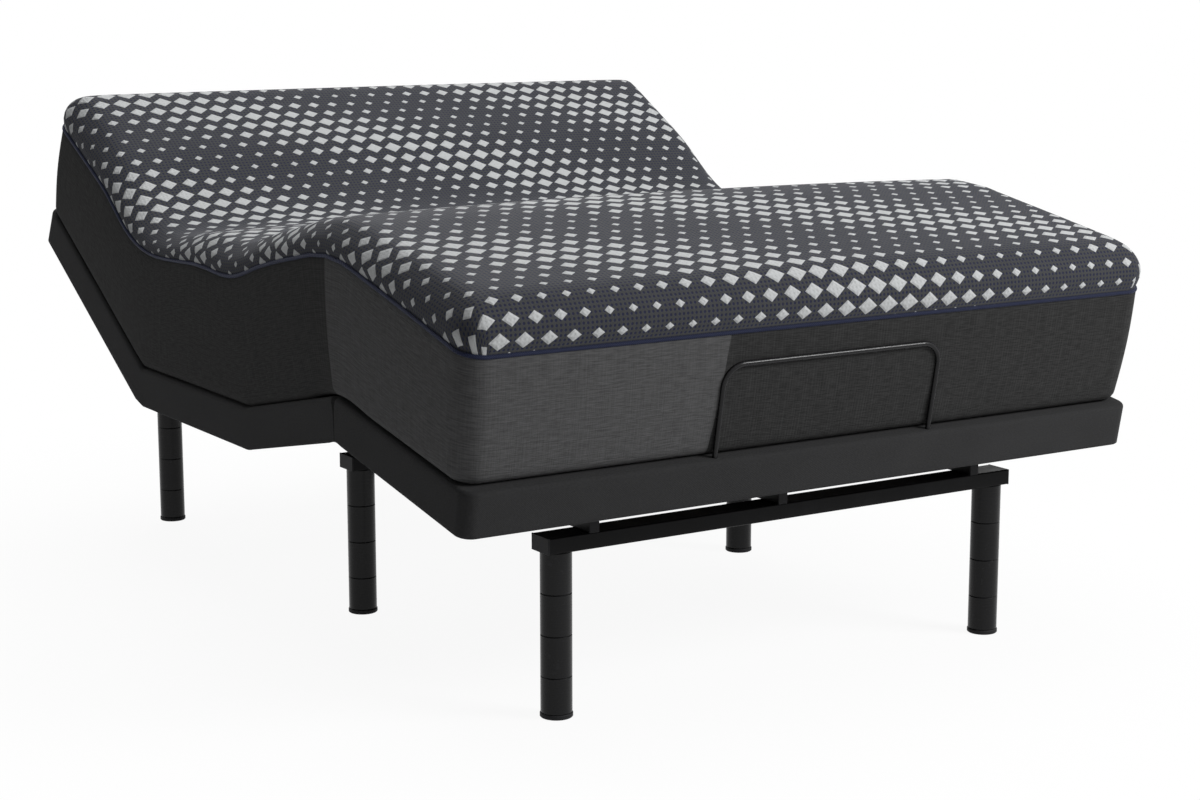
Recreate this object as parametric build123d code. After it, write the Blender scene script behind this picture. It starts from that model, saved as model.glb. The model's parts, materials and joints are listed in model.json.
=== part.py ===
"""Adjustable bed base of queen width, with the mattress that lies on it.

The head and the knees stand raised. Three flat cross-beams on six screw-together legs carry
three rails. The seat section of the deck is fixed on the rails, and the head, thigh and foot
sections fold on butt hinges. Two linear drives push the head and the thighs up, and a pair of
side links keeps the foot section at its slope.

Millimetres. +Y points to the head end, +Z up, and the origin is the middle of the floor area.
The script first works from the line of the two foot legs, and shifts everything at the end.
"""
import os
from math import atan2, cos, degrees, hypot, radians, sin, tan

from build123d import *

# Pose at rest: slopes of the raised sections.
head_angle = 29.5
thigh_angle = 12.0
foot_angle = 10.5

# Deck sections, measured along the deck from fold to fold.
deck_width = 1515.0
head_length = 620.0
seat_length = 545.0
thigh_length = 390.0
foot_length = 480.0
deck_height = 84.0
corner_radius = 28.0
cover_thick = 4.0
board_thick = 18.0
border_thick = 20.0
fold_gap = 9.0
rail_gap = 2.0
seam_gap = 0.3
cover_clear = 0.3

# Legs and fixed steel frame.
leg_height = 304.8
leg_diameter = 57.5
leg_segments = 4
seam_chamfer = 1.2
pad_height = 9.0
pad_diameter = 60.0
pad_edge = 2.2
pad_chamfer = 1.5
stud_diameter = 12.0
stud_length = 14.0
thread_clear = 0.3
bush_diameter = 24.0
leg_half_spread = 503.0
mid_leg_inset = 22.0
head_leg_inset = 7.0
mid_leg_line = 805.0
head_leg_line = 1793.0
beam_overhang = 30.0
beam_depth = 58.0
beam_height = 30.0
beam_wall = 2.5
beam_edge = 3.0
cap_thick = 3.0
cap_edge = 1.0
cap_plug = 12.0
cap_clear = 0.1
rail_width = 20.0
rail_height = 48.0
rail_wall = 2.0
rail_edge = 2.0
rail_spread = 442.0
rail_center_x = -27.0
seat_front = 752.0

# Hinges of the folds.
hinge_drop = 10.0
hinge_spread = 330.0
leaf_width = 72.0
leaf_height = 52.0
leaf_thick = 2.5
knuckle_diameter = 12.0
hinge_pin = 6.0
pin_clear = 0.05
knuckle_clear = 0.5

# Side links that hold the slope of the foot section.
link_pivot_y = 655.0
link_pivot_z = 353.0
link_reach = 50.0
link_depth = 132.0
link_height = 26.0
link_thick = 6.0
link_bolt = 12.0
bolt_head = 6.0
bolt_head_diameter = 20.0
link_play = 0.9
link_slot_up = 4.6
link_slot_down = 1.0
link_clear = 2.0
bracket_thick = 6.0
bracket_width = 44.0
bracket_height = 50.0

# Linear drives: pivot on the frame, lug on the section, play slot in the lug.
head_drive_x = 200.0
head_pivot_y = 890.0
head_pivot_z = 280.0
head_lug_reach = 60.0
head_lug_depth = 150.0
head_slot_angle = -54.9
head_slot_ahead = 16.9
head_slot_back = 0.8
head_slot_play = 2.3
leg_drive_x = -230.0
leg_pivot_y = 1120.0
leg_pivot_z = 245.0
leg_lug_reach = 60.0
leg_lug_depth = 230.0
leg_slot_angle = 240.0
leg_slot_ahead = 6.4
leg_slot_back = 1.2
leg_slot_play = 0.9
lug_thick = 6.0
lug_gap = 24.0
lug_round = 20.0
lug_base = 60.0
lift_tube = 30.0
lift_tube_wall = 2.5
lift_tube_length = 640.0
drive_pin = 10.0
pin_over = 4.0
clevis_round = 14.0
rod_pin = 12.0
rod_diameter = 24.0
rod_eye_diameter = 30.0
rod_back = 150.0
tube_diameter = 32.0
tube_front = 62.0
notch_room = 6.0
notch_height = 38.0
eye_diameter = 26.0
eye_clear = 1.0
gearbox_start = 22.0
gearbox_length = 74.0
gearbox_width = 62.0
gearbox_height = 66.0
gearbox_edge = 8.0
motor_diameter = 58.0
motor_length = 135.0
motor_edge = 7.0
crossbar_depth = 40.0
crossbar_height = 40.0
box_left = 50.0
box_width = 120.0
box_depth = 110.0
box_height = 42.0
box_edge = 4.0
box_ports = 4
port_width = 17.0
port_height = 14.0
port_rise = 3.0

# Mattress retainer bar at the foot end.
bar_diameter = 10.0
bar_spread = 490.0
bar_rise = 172.0
bar_bend = 42.0
bar_root = 40.0
socket_diameter = 14.0
socket_floor = 3.0
socket_clear = 0.1

# Mattress, one soft body cut at the folds.
mattress_foot_inset = 26.0
mattress_corner = 45.0
mattress_border = 235.0
mattress_crown = 100.0
mattress_shoulder = 66.0
mattress_rise = 88.0
mattress_run = 450.0
mattress_nip = 5.0
mattress_bulge = 4.0
mattress_heel = 20.0
mattress_gap = 0.5
head_bend = 520.0
thigh_bend = 900.0
knee_bend = 20.0
seam_angle = 0.05

# How far a cutting shape reaches past the face it cuts.
cut_over = 1.0

# Values worked out from the sizes above.
half_width = deck_width / 2
mattress_room = mattress_bulge + cut_over
mattress_wide = half_width + mattress_room
leg_spread = {"foot": leg_half_spread, "mid": leg_half_spread - mid_leg_inset,
              "head": leg_half_spread - head_leg_inset}
leg_line = {"foot": 0.0, "mid": mid_leg_line, "head": head_leg_line}
frame_top = leg_height + beam_height + rail_height
deck_top = frame_top + deck_height
moving_height = deck_height - rail_gap
fold_z = deck_top - hinge_drop
knee_drop = moving_height
knee_fold = thigh_angle + foot_angle
beam_length = {place: 2 * (spread + beam_overhang) for place, spread in leg_spread.items()}
rail_start = leg_line["foot"] - beam_depth / 2
rail_end = leg_line["head"] + beam_depth / 2
body_half = half_width - cover_thick - cover_clear


def slab(x0, x1, y0, y1, z0, z1):
    """Box between two corners."""
    center = Pos((x0 + x1) / 2, (y0 + y1) / 2, (z0 + z1) / 2)
    return center * Box(x1 - x0, y1 - y0, z1 - z0)


def rod_x(x0, x1, y, z, diameter):
    """Round bar along X between two stations, given in either order."""
    return Pos((x0 + x1) / 2, y, z) * Rot(0, 90, 0) * Cylinder(diameter / 2, abs(x1 - x0))


def rod_y(y0, y1, x, z, diameter):
    """Round bar along Y."""
    return Pos(x, (y0 + y1) / 2, z) * Rot(90, 0, 0) * Cylinder(diameter / 2, y1 - y0)


def side_plate(face, x0, x1):
    """Plate from a face drawn with Y across and Z up, between two X stations in either order."""
    return extrude(Plane.YZ.offset(min(x0, x1)) * face, abs(x1 - x0))


def polygon(*points):
    """Flat face through the points, in order."""
    return make_face(Polyline(*points, close=True))


def slot_x(y, z, angle, back, ahead, radius, x0, x1):
    """Slot along X whose middle line runs from back to ahead of a point, at an angle."""
    middle = (ahead - back) / 2
    place = Pos(y + middle * cos(radians(angle)), z + middle * sin(radians(angle)))
    face = place * Rot(0, 0, angle) * SlotCenterToCenter(ahead + back, 2 * radius)
    return side_plate(face, x0, x1)


def rounded_slab(half, y0, y1, z0, z1, radius, round_low=False, round_high=False):
    """Slab across the bed whose plan corners are rounded at its low-Y or high-Y end.

    Corners inside a wall thicker than the radius round it stay square.
    """
    solid = slab(-half, half, y0, y1, z0, z1)
    uprights = solid.edges().filter_by(Axis.Z).sort_by(Axis.Y)
    corners = (uprights[:2] if round_low else []) + (uprights[-2:] if round_high else [])
    return fillet(corners, radius) if corners and radius > 0 else solid


def along(y, z, angle):
    """Placement of a section drawn level with its fold axis at the origin."""
    return Pos(0, y, z) * Rot(angle, 0, 0)


head_place = along(seat_front + seat_length, fold_z, head_angle)
thigh_place = along(seat_front, fold_z, -thigh_angle)
knee_place = thigh_place * along(-thigh_length, hinge_drop - knee_drop, knee_fold)
seat_top = hinge_drop
foot_top = knee_drop


def rect_tube_x(length, depth, height, wall, edge=beam_edge):
    """Rectangular tube along X, centred, with rounded long edges and open ends."""
    outer = Box(length, depth, height)
    outer = fillet(outer.edges().filter_by(Axis.X), edge)
    return outer - Box(length + 2 * cut_over, depth - 2 * wall, height - 2 * wall)


def tube_cap(depth, height, wall, side):
    """Plastic plug with a flange that closes the end of a rectangular tube along X."""
    flange = Pos(side * cap_thick / 2, 0, 0) * Box(cap_thick, depth, height)
    flange = fillet(flange.faces().sort_by(Axis.X)[-1 if side > 0 else 0].edges(), cap_edge)
    plug_size = (depth - 2 * (wall + cap_clear), height - 2 * (wall + cap_clear))
    return flange + Pos(-side * cap_plug / 2, 0, 0) * Box(cap_plug, *plug_size)


def cross_beam(place):
    """Cross-beam with a hole for each leg bush, and its two end caps."""
    level = Pos(0, leg_line[place], leg_height + beam_height / 2)
    length = beam_length[place]
    tube = level * rect_tube_x(length, beam_depth, beam_height, beam_wall)
    for side in (-1, 1):
        bush_hole = Cylinder(bush_diameter / 2 + cap_clear, 4 * beam_wall)
        tube -= Pos(side * leg_spread[place], leg_line[place], leg_height) * bush_hole
    caps = [level * Pos(side * length / 2, 0, 0) * tube_cap(beam_depth, beam_height, beam_wall, side)
            for side in (-1, 1)]
    return tube, caps


def rail(x):
    """Rail along the bed, standing on the cross-beams, and its two end caps."""
    length = rail_end - rail_start
    turn = Pos(x, (rail_start + rail_end) / 2, frame_top - rail_height / 2) * Rot(0, 0, 90)
    tube = turn * rect_tube_x(length, rail_width, rail_height, rail_wall, rail_edge)
    caps = [turn * Pos(side * length / 2, 0, 0) * tube_cap(rail_width, rail_height, rail_wall, side)
            for side in (-1, 1)]
    return tube, caps


def leg(x, y):
    """Screw-together leg: equal segments, each with a stud that enters the one above."""
    step = leg_height / leg_segments
    segments = []
    for index in range(leg_segments):
        low = pad_height if index == 0 else index * step
        high = (index + 1) * step
        barrel = Pos(0, 0, (low + high) / 2) * Cylinder(leg_diameter / 2, high - low)
        barrel = chamfer(barrel.edges().filter_by(GeomType.CIRCLE), seam_chamfer)
        barrel += Pos(0, 0, high + stud_length / 2) * Cylinder(stud_diameter / 2, stud_length)
        hole_depth = stud_length + thread_clear
        hole = Cylinder(stud_diameter / 2 + thread_clear, hole_depth)
        segments.append(Pos(x, y, 0) * (barrel - Pos(0, 0, low + hole_depth / 2) * hole))
    return segments


def leg_pad(x, y):
    """Foot pad with a stem that enters the lowest segment."""
    disc = Pos(0, 0, pad_height / 2) * Cylinder(pad_diameter / 2, pad_height)
    disc = fillet(disc.edges().filter_by(GeomType.CIRCLE).sort_by(Axis.Z)[-1], pad_edge)
    disc = chamfer(disc.edges().filter_by(GeomType.CIRCLE).sort_by(Axis.Z)[0], pad_chamfer)
    stem = Pos(0, 0, pad_height + stud_length / 2) * Cylinder(stud_diameter / 2, stud_length)
    return Pos(x, y, 0) * (disc + stem)


def leg_bush(x, y):
    """Threaded bush let into the underside of a cross-beam."""
    height = beam_height - beam_wall
    bush = Cylinder(bush_diameter / 2, height) - Cylinder(stud_diameter / 2 + thread_clear, height)
    return Pos(x, y, leg_height + height / 2) * bush


def deck_board(y0, y1, top, round_low=False, round_high=False):
    """Top panel of a deck section."""
    radius = corner_radius - cover_thick
    return rounded_slab(body_half, y0, y1, top - cover_thick - board_thick, top - cover_thick,
                        radius, round_low, round_high)


def deck_border(y0, y1, top, height, round_low=False, round_high=False):
    """Border boards under the panel: two sides, two ends and a block in each rounded corner."""
    low, high = top - height, top - cover_thick - board_thick
    radius = corner_radius - cover_thick
    ring = rounded_slab(body_half, y0, y1, low, high, radius, round_low, round_high)
    ring -= rounded_slab(body_half - border_thick, y0 + border_thick, y1 - border_thick, low, high,
                         radius - border_thick, round_low, round_high)
    side_low = y0 + (corner_radius if round_low else border_thick)
    side_high = y1 - (corner_radius if round_high else border_thick)
    zones = [slab(-half_width, 0, side_low, side_high, low, high),
             slab(0, half_width, side_low, side_high, low, high)]
    for rounded, near, far in ((round_low, y0, side_low), (round_high, side_high, y1)):
        reach = body_half - corner_radius if rounded else half_width
        zones.append(slab(-reach, reach, near, far, low, high))
        if rounded:
            zones.append(slab(-half_width, -reach, near, far, low, high))
            zones.append(slab(reach, half_width, near, far, low, high))
    return [ring & zone for zone in zones]


def deck_section(place, y0, y1, top, height, cuts, round_low=False, round_high=False):
    """Panel and border boards of a deck section, with its cut-outs, set at its place."""
    board = deck_board(y0, y1, top, round_low, round_high)
    border = deck_border(y0, y1, top, height, round_low, round_high)
    for cut in cuts:
        board -= cut
        border = [piece - cut for piece in border]
    return place * board, [place * piece for piece in border]


def deck_cover(points, far_end=0.0):
    """Upholstery shell over a section: its side outline drawn out across the bed, open below.

    The outline starts and ends at the top, and far_end is the Y of a closed, rounded end.
    """
    top = max(z for _, z in points)
    bottom = min(z for _, z in points)
    low = min(y for y, _ in points)
    high = max(y for y, _ in points)
    outer = side_plate(polygon(*points), -half_width, half_width)
    reach = deck_height
    inner_low = far_end + cover_thick if far_end < 0 else low - reach
    inner_high = far_end - cover_thick if far_end > 0 else high + reach
    inner = rounded_slab(half_width - cover_thick, inner_low, inner_high, bottom - reach,
                         top - cover_thick, corner_radius - cover_thick, far_end < 0, far_end > 0)
    if far_end:
        uprights = outer.edges().filter_by(Axis.Z).sort_by(Axis.Y)
        outer = fillet(uprights[-2:] if far_end > 0 else uprights[:2], corner_radius)
    return outer - inner


def hinge(x, height_sign):
    """Butt hinge about the X axis: leaf on the low-Y side, leaf on the high-Y side, and pin."""
    third = leaf_width / 3
    leaves = []
    for side in (-1, 1):
        face = side * (fold_gap / 2 - leaf_thick)
        edge = side * fold_gap / 2
        low, high = sorted((0.0, height_sign * leaf_height))
        leaf = slab(x - leaf_width / 2, x + leaf_width / 2, min(face, edge), max(face, edge), low, high)
        ring = rod_x(x - leaf_width / 2, x + leaf_width / 2, 0, 0, knuckle_diameter)
        leaf -= rod_x(x - leaf_width, x + leaf_width, 0, 0, knuckle_diameter + 2 * knuckle_clear)
        bridge = slab(x - leaf_width / 2, x + leaf_width / 2, min(face, edge), max(face, edge),
                      *sorted((0.0, height_sign * knuckle_diameter)))
        own = ring + bridge
        middle = slab(x - third / 2, x + third / 2, -half_width, half_width, -half_width, half_width)
        if side < 0:
            grown = third / 2 + knuckle_clear
            own -= slab(x - grown, x + grown, -half_width, half_width, -half_width, half_width)
        else:
            own &= middle
        leaf += own
        leaves.append(leaf - rod_x(x - leaf_width, x + leaf_width, 0, 0, hinge_pin + 2 * pin_clear))
    return leaves[0], leaves[1], rod_x(x - leaf_width / 2, x + leaf_width / 2, 0, 0, hinge_pin)


def hinge_notches(height_sign):
    """Room in the boards for the knuckles of the two hinges of a fold."""
    room = knuckle_diameter / 2 + 2 * knuckle_clear
    depth = height_sign * (knuckle_diameter + knuckle_clear)
    notch = []
    for side in (-1, 1):
        x = side * hinge_spread
        width = leaf_width / 2 + knuckle_clear
        notch.append(slab(x - width, x + width, -room, room, *sorted((-height_sign * room, depth))))
    return notch


def fold_hinges(low_place, high_place, height_sign):
    """The two hinges of a fold, as low-Y leaves, high-Y leaves and pins."""
    sets = [hinge(side * hinge_spread, height_sign) for side in (-1, 1)]
    places = (low_place, high_place, low_place)
    return [[place * pair[index] for pair in sets] for index, place in enumerate(places)]


def fold_edge(top, half_angle, away, axis=(0.0, 0.0), hump=False):
    """Y of a cover's edge at a fold, at its top and at its hem.

    The edge lies in the plane halfway between two sections, less the seam between them. away is
    1 for the section on the high-Y side of the fold and -1 for the one on its low-Y side.
    """
    lean = -away if hump else away
    slope = lean * tan(radians(half_angle))
    return [axis[0] + slope * (z - axis[1]) + away * seam_gap / 2 for z in (top, top - deck_height)]


def cover_outline(top, low_edge, high_edge):
    """Side outline of a cover, from the Y of each of its edges at the top and at the hem."""
    hem = top - deck_height
    return [(low_edge[0], top), (high_edge[0], top), (high_edge[1], hem), (low_edge[1], hem)]


def lift_bracket(x, y, top, depth, slot_angle, back, ahead, play):
    """Cross tube under a panel with a pair of lug plates, slotted for the drive's pin."""
    tube_z = top - cover_thick - board_thick - lift_tube / 2
    tube = Pos(0, y, tube_z) * rect_tube_x(lift_tube_length, lift_tube, lift_tube, lift_tube_wall)
    lug_z = top - depth
    turn = radians(slot_angle)
    ends = [Pos(y + s * cos(turn), lug_z + s * sin(turn)) * Circle(lug_round) for s in (-back, ahead)]
    root_z = tube_z - lift_tube / 2
    root = Pos(y, root_z - lug_thick / 2) * Rectangle(lug_base, lug_thick)
    outline = make_hull(root.edges() + ends[0].edges() + ends[1].edges())
    lugs = []
    for side in (-1, 1):
        face = x + side * lug_gap / 2
        plate = side_plate(outline, min(face, face + side * lug_thick), max(face, face + side * lug_thick))
        lugs.append(plate - slot_x(y, lug_z, slot_angle, back, ahead, rod_pin / 2 + play,
                                   x - lug_gap, x + lug_gap))
    return [tube] + lugs


def section_point(place, y, z):
    """Where a point of a section lies at rest, as Y and Z."""
    spot = (place * Pos(0, y, z)).position
    return spot.Y, spot.Z


def drive(x, pivot, lug, retracted, motor_side):
    """Linear drive from its pivot to its lug: housing with motor, outer tube, rod and rod pin."""
    reach = hypot(lug[0] - pivot[0], lug[1] - pivot[1])
    angle = degrees(atan2(lug[1] - pivot[1], lug[0] - pivot[0]))
    place = Pos(x, *pivot) * Rot(angle, 0, 0)
    tube_end = retracted - tube_front
    box_end = gearbox_start + gearbox_length
    bore = rod_diameter + 2 * pin_clear
    eye = lug_gap / 2 - eye_clear

    body = Pos(0, (gearbox_start + box_end) / 2, 0) * Box(gearbox_width, gearbox_length, gearbox_height)
    body = fillet(body.edges(), gearbox_edge)
    motor_y = gearbox_start + gearbox_length / 2
    motor = rod_x(0, motor_side * (gearbox_width / 2 + motor_length), motor_y, 0, motor_diameter)
    motor = fillet(motor.faces().sort_by(Axis.X)[-1 if motor_side > 0 else 0].edges(), motor_edge)
    tail = slab(-eye, eye, 0, gearbox_start + gearbox_edge, -eye_diameter / 2, eye_diameter / 2)
    housing = body + motor + tail + rod_x(-eye, eye, 0, 0, eye_diameter)
    housing -= rod_x(-gearbox_width, gearbox_width, 0, 0, drive_pin + 2 * pin_clear)

    tube = rod_y(box_end, tube_end, 0, 0, tube_diameter)
    tube -= rod_y(box_end - cut_over, tube_end + cut_over, 0, 0, bore)
    rod_start = reach - (retracted - rod_back)
    rod = rod_y(rod_start, reach, 0, 0, rod_diameter) + rod_x(-eye, eye, reach, 0, rod_eye_diameter)
    rod &= slab(-eye, eye, rod_start - cut_over, reach + eye_diameter, -eye_diameter, eye_diameter)
    rod -= rod_x(-lug_gap, lug_gap, reach, 0, rod_pin + 2 * pin_clear)
    pin_half = lug_gap / 2 + lug_thick + pin_over
    pin = rod_x(-pin_half, pin_half, reach, 0, rod_pin)
    return [place * piece for piece in (housing, tube, rod, pin)]


def drive_clevis(x, pivot, root):
    """Pair of plates from a frame member down to the pivot pin of a drive."""
    outline = make_hull(root.edges() + (Pos(*pivot) * Circle(clevis_round)).edges())
    plates = []
    for side in (-1, 1):
        low, high = sorted((x + side * lug_gap / 2, x + side * (lug_gap / 2 + lug_thick)))
        hole = rod_x(low - cut_over, high + cut_over, *pivot, drive_pin + 2 * pin_clear)
        plates.append(side_plate(outline, low, high) - hole)
    return plates


def heel_arc(edge, sign):
    """Rounded lower edge of the mattress, ending upright at Y or X = edge on the side sign."""
    start = (edge - sign * mattress_heel, 0)
    return TangentArc(start, (edge, mattress_heel), tangent=(sign, 0))


def mattress_profile():
    """Cross-section of the mattress: bulging border, nipped-in seam, then a crowned top."""
    half = half_width
    seam = mattress_border
    shoulder_x = half - mattress_shoulder
    shoulder_z = seam + mattress_rise
    neck = (half, seam - mattress_nip)
    lip = (half - mattress_nip, seam)
    crown = ThreePointArc((-shoulder_x, shoulder_z), (0, seam + mattress_crown), (shoulder_x, shoulder_z))
    right = [
        Line((0, 0), (half - mattress_heel, 0)),
        heel_arc(half, 1),
        ThreePointArc((half, mattress_heel), (half + mattress_bulge, seam / 2), neck),
        Line(neck, lip),
        TangentArc((shoulder_x, shoulder_z), lip, tangent=crown % 1),
    ]
    left = [mirror(edge, Plane.YZ) for edge in right]
    return make_face(right + left + [crown])


def mattress_end(reach):
    """Side outline of the mattress at an end that lies at Y = reach, drawn out across the bed."""
    sign = 1 if reach > 0 else -1
    seam = mattress_border
    roof = seam + mattress_crown + mattress_nip
    shoulder = (reach - sign * mattress_shoulder, seam + mattress_rise)
    neck = (reach, seam - mattress_nip)
    lip = (reach - sign * mattress_nip, seam)
    full = (reach - sign * mattress_run, roof)
    back = reach - sign * deck_width
    outline = [
        Line((back, 0), (reach - sign * mattress_heel, 0)),
        heel_arc(reach, sign),
        ThreePointArc((reach, mattress_heel), (reach + sign * mattress_bulge, seam / 2), neck),
        Line(neck, lip),
        TangentArc(shoulder, lip, tangent=(sign, 0)),
        Line(shoulder, full),
        Line(full, (back, roof)),
        Line((back, roof), (back, 0)),
    ]
    return side_plate(make_face(outline), -mattress_wide, mattress_wide)


def bent_end(kink, bend, half_angle, sign):
    """Half of the bend of the mattress at a fold, and the Y where its straight part starts.

    The fold lies at Y = kink, and the section runs from it towards sign. A positive bend is the
    radius of the underside at a hollow fold, a negative one at a hump.
    """
    start = kink + sign * abs(bend) * tan(radians(half_angle))
    face = Plane.XZ.offset(-start) * mattress_profile()
    turn = Axis((0, start, bend), (-sign if bend > 0 else sign, 0, 0))
    return revolve(face, turn, half_angle - seam_angle), start


def mattress_section(low, high, low_bend=None, high_bend=None):
    """Part of the mattress between two folds, or a fold and an end, lying level on Z = 0.

    low and high are the Y of a fold's kink or of an end, and a bend is (radius, half angle).
    """
    pieces = []
    start, stop = low, high
    if low_bend:
        piece, start = bent_end(low, *low_bend, 1)
        pieces.append(piece)
    if high_bend:
        piece, stop = bent_end(high, *high_bend, -1)
        pieces.append(piece)
    straight = extrude(Plane.XZ.offset(-stop) * mattress_profile(), stop - start)
    for bend, reach in ((low_bend, low), (high_bend, high)):
        if not bend:
            straight &= mattress_end(reach)
            low_y, high_y = sorted((reach, reach + (deck_width if reach < 0 else -deck_width)))
            roof = mattress_border + mattress_crown + cut_over
            straight &= rounded_slab(mattress_wide, low_y - mattress_room, high_y + mattress_room,
                                     -cut_over, roof, mattress_corner, reach < 0, reach > 0)
    for piece in pieces:
        straight += piece
    return straight


nodes = {}
leg_spots = {f"{place}_{side}": (sign * leg_spread[place], leg_line[place])
             for place in leg_spread for side, sign in (("left", -1), ("right", 1))}

# Fixed frame: legs, beams and rails.
caps = []
for place in leg_line:
    nodes[f"{place}_beam"], beam_caps = cross_beam(place)
    caps += beam_caps
for name, x in (("left", -rail_spread), ("center", rail_center_x), ("right", rail_spread)):
    nodes[f"rail_{name}"], rail_caps = rail(x)
    caps += rail_caps
nodes["tube_end_caps"] = caps
for name, spot in leg_spots.items():
    nodes[f"leg_{name}"] = leg(*spot)
nodes["leg_pads"] = [leg_pad(*spot) for spot in leg_spots.values()]
nodes["leg_bushes"] = [leg_bush(*spot) for spot in leg_spots.values()]

# Deck sections, each drawn level about its own fold axis.
half_gap = fold_gap / 2
head_half, thigh_half, knee_half = head_angle / 2, thigh_angle / 2, knee_fold / 2
knee_axis = (-thigh_length, hinge_drop - knee_drop)
seat_place = Pos(0, seat_front, fold_z)
head_seat_place = seat_place * Pos(0, seat_length, 0)
knee_thigh_place = thigh_place * Pos(0, *knee_axis)
top_notches = hinge_notches(-1)
seat_notches = top_notches + [Pos(0, seat_length, 0) * notch for notch in top_notches]
seat_low = seat_top - deck_height
notch_half = tube_diameter / 2 + notch_room
seat_notches.append(slab(head_drive_x - notch_half, head_drive_x + notch_half,
                         seat_length - 2 * border_thick, seat_length,
                         seat_low - notch_room, seat_low + notch_height))
knee_notches = hinge_notches(1)
thigh_notches = top_notches + [Pos(0, *knee_axis) * notch for notch in knee_notches]
body_end = cover_thick + cover_clear
bar_y = body_end + border_thick / 2 - foot_length
bar_hole = Cylinder(socket_diameter / 2, 2 * (deck_height + cut_over))
bar_holes = [Pos(side * bar_spread / 2, bar_y, foot_top) * bar_hole for side in (-1, 1)]
sections = {
    "head": deck_section(head_place, half_gap, head_length - body_end, seat_top, moving_height,
                         top_notches, round_high=True),
    "seat": deck_section(seat_place, half_gap, seat_length - half_gap, seat_top, deck_height, seat_notches),
    "thigh": deck_section(thigh_place, half_gap - thigh_length, -half_gap, seat_top, moving_height,
                          thigh_notches),
    "foot": deck_section(knee_place, body_end - foot_length, -half_gap, foot_top, moving_height,
                         knee_notches + bar_holes, round_low=True),
}
for name, (board, border) in sections.items():
    nodes[f"{name}_board"] = board
    nodes[f"{name}_border"] = border

head_far = (head_length, head_length)
foot_far = (-foot_length, -foot_length)
seat_head_edge = fold_edge(seat_top, head_half, -1, (seat_length, 0.0))
thigh_knee_edge = fold_edge(seat_top, knee_half, 1, knee_axis, hump=True)
foot_knee_edge = fold_edge(foot_top, knee_half, -1, hump=True)
head_outline = cover_outline(seat_top, fold_edge(seat_top, head_half, 1), head_far)
seat_outline = cover_outline(seat_top, fold_edge(seat_top, thigh_half, 1), seat_head_edge)
thigh_outline = cover_outline(seat_top, thigh_knee_edge, fold_edge(seat_top, thigh_half, -1))
foot_outline = cover_outline(foot_top, foot_far, foot_knee_edge)
nodes["head_cover"] = head_place * deck_cover(head_outline, head_length)
nodes["seat_cover"] = seat_place * deck_cover(seat_outline)
nodes["thigh_cover"] = thigh_place * deck_cover(thigh_outline)
foot_cover = deck_cover(foot_outline, -foot_length)
for hole in bar_holes:
    foot_cover -= hole
nodes["foot_cover"] = knee_place * foot_cover

# Hinges of the three folds.
seat_leaves, head_leaves, head_pins = fold_hinges(head_seat_place, head_place, -1)
nodes["head_hinge_seat_leaves"], nodes["head_hinge_leaves"] = seat_leaves, head_leaves
thigh_leaves, seat_leaves, thigh_pins = fold_hinges(thigh_place, seat_place, -1)
nodes["thigh_hinge_seat_leaves"], nodes["thigh_hinge_leaves"] = seat_leaves, thigh_leaves
nodes["deck_hinge_pins"] = head_pins + thigh_pins
foot_leaves, thigh_leaves, knee_pins = fold_hinges(knee_place, knee_thigh_place, 1)
nodes["knee_hinge_thigh_leaves"], nodes["knee_hinge_leaves"] = thigh_leaves, foot_leaves
nodes["knee_hinge_pins"] = knee_pins

# Side links between the rails and the foot section.
rail_face = rail_spread - rail_width / 2
link_outer = rail_face - link_clear
link_inner = link_outer - link_thick
link_pin = (-link_reach, foot_top - link_depth)
pin_y, pin_z = section_point(knee_place, *link_pin)
link_angle = degrees(atan2(pin_z - link_pivot_z, pin_y - link_pivot_y))
link_length = hypot(pin_z - link_pivot_z, pin_y - link_pivot_y)
links, brackets, link_pins, pivot_pins = [], [], [], []
bracket_top = foot_top - cover_thick - board_thick
bracket_root = Pos(link_pin[0], bracket_top - bracket_height / 2) * Rectangle(bracket_width, bracket_height)
bracket_eye = Pos(*link_pin) * Circle(link_height / 2)
bracket_face = make_hull(bracket_root.edges() + bracket_eye.edges())
link_place = Pos(link_pivot_y, link_pivot_z) * Rot(0, 0, link_angle) * Pos(link_length / 2, 0)
link_face = link_place * SlotCenterToCenter(link_length, link_height)
plate_outer = link_inner - link_clear
plate_inner = plate_outer - bracket_thick
head_inner = plate_outer + link_clear / 2
head_outer = head_inner - bolt_head
pin_outer = link_outer + link_clear / 2
pivot = (link_pivot_y, link_pivot_z)
for side in (-1, 1):
    arm = side_plate(link_face, side * link_inner, side * link_outer)
    arm -= rod_x(0, side * half_width, *pivot, link_bolt + 2 * pin_clear)
    arm -= slot_x(pin_y, pin_z, link_angle - 90, link_slot_down, link_slot_up, link_bolt / 2 + link_play,
                  0, side * half_width)
    links.append(arm)
    plate = side_plate(bracket_face, side * plate_inner, side * plate_outer)
    plate -= rod_x(0, side * half_width, *link_pin, link_bolt)
    brackets.append(knee_place * plate)
    link_pins.append(knee_place * rod_x(side * plate_inner, side * pin_outer, *link_pin, link_bolt))
    shank = rod_x(side * head_inner, side * rail_face, *pivot, link_bolt)
    bolt = shank + rod_x(side * head_inner, side * head_outer, *pivot, bolt_head_diameter)
    pivot_pins.append(bolt)
nodes["foot_links"] = links
nodes["foot_link_brackets"] = brackets
nodes["foot_link_pins"] = link_pins

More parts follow.
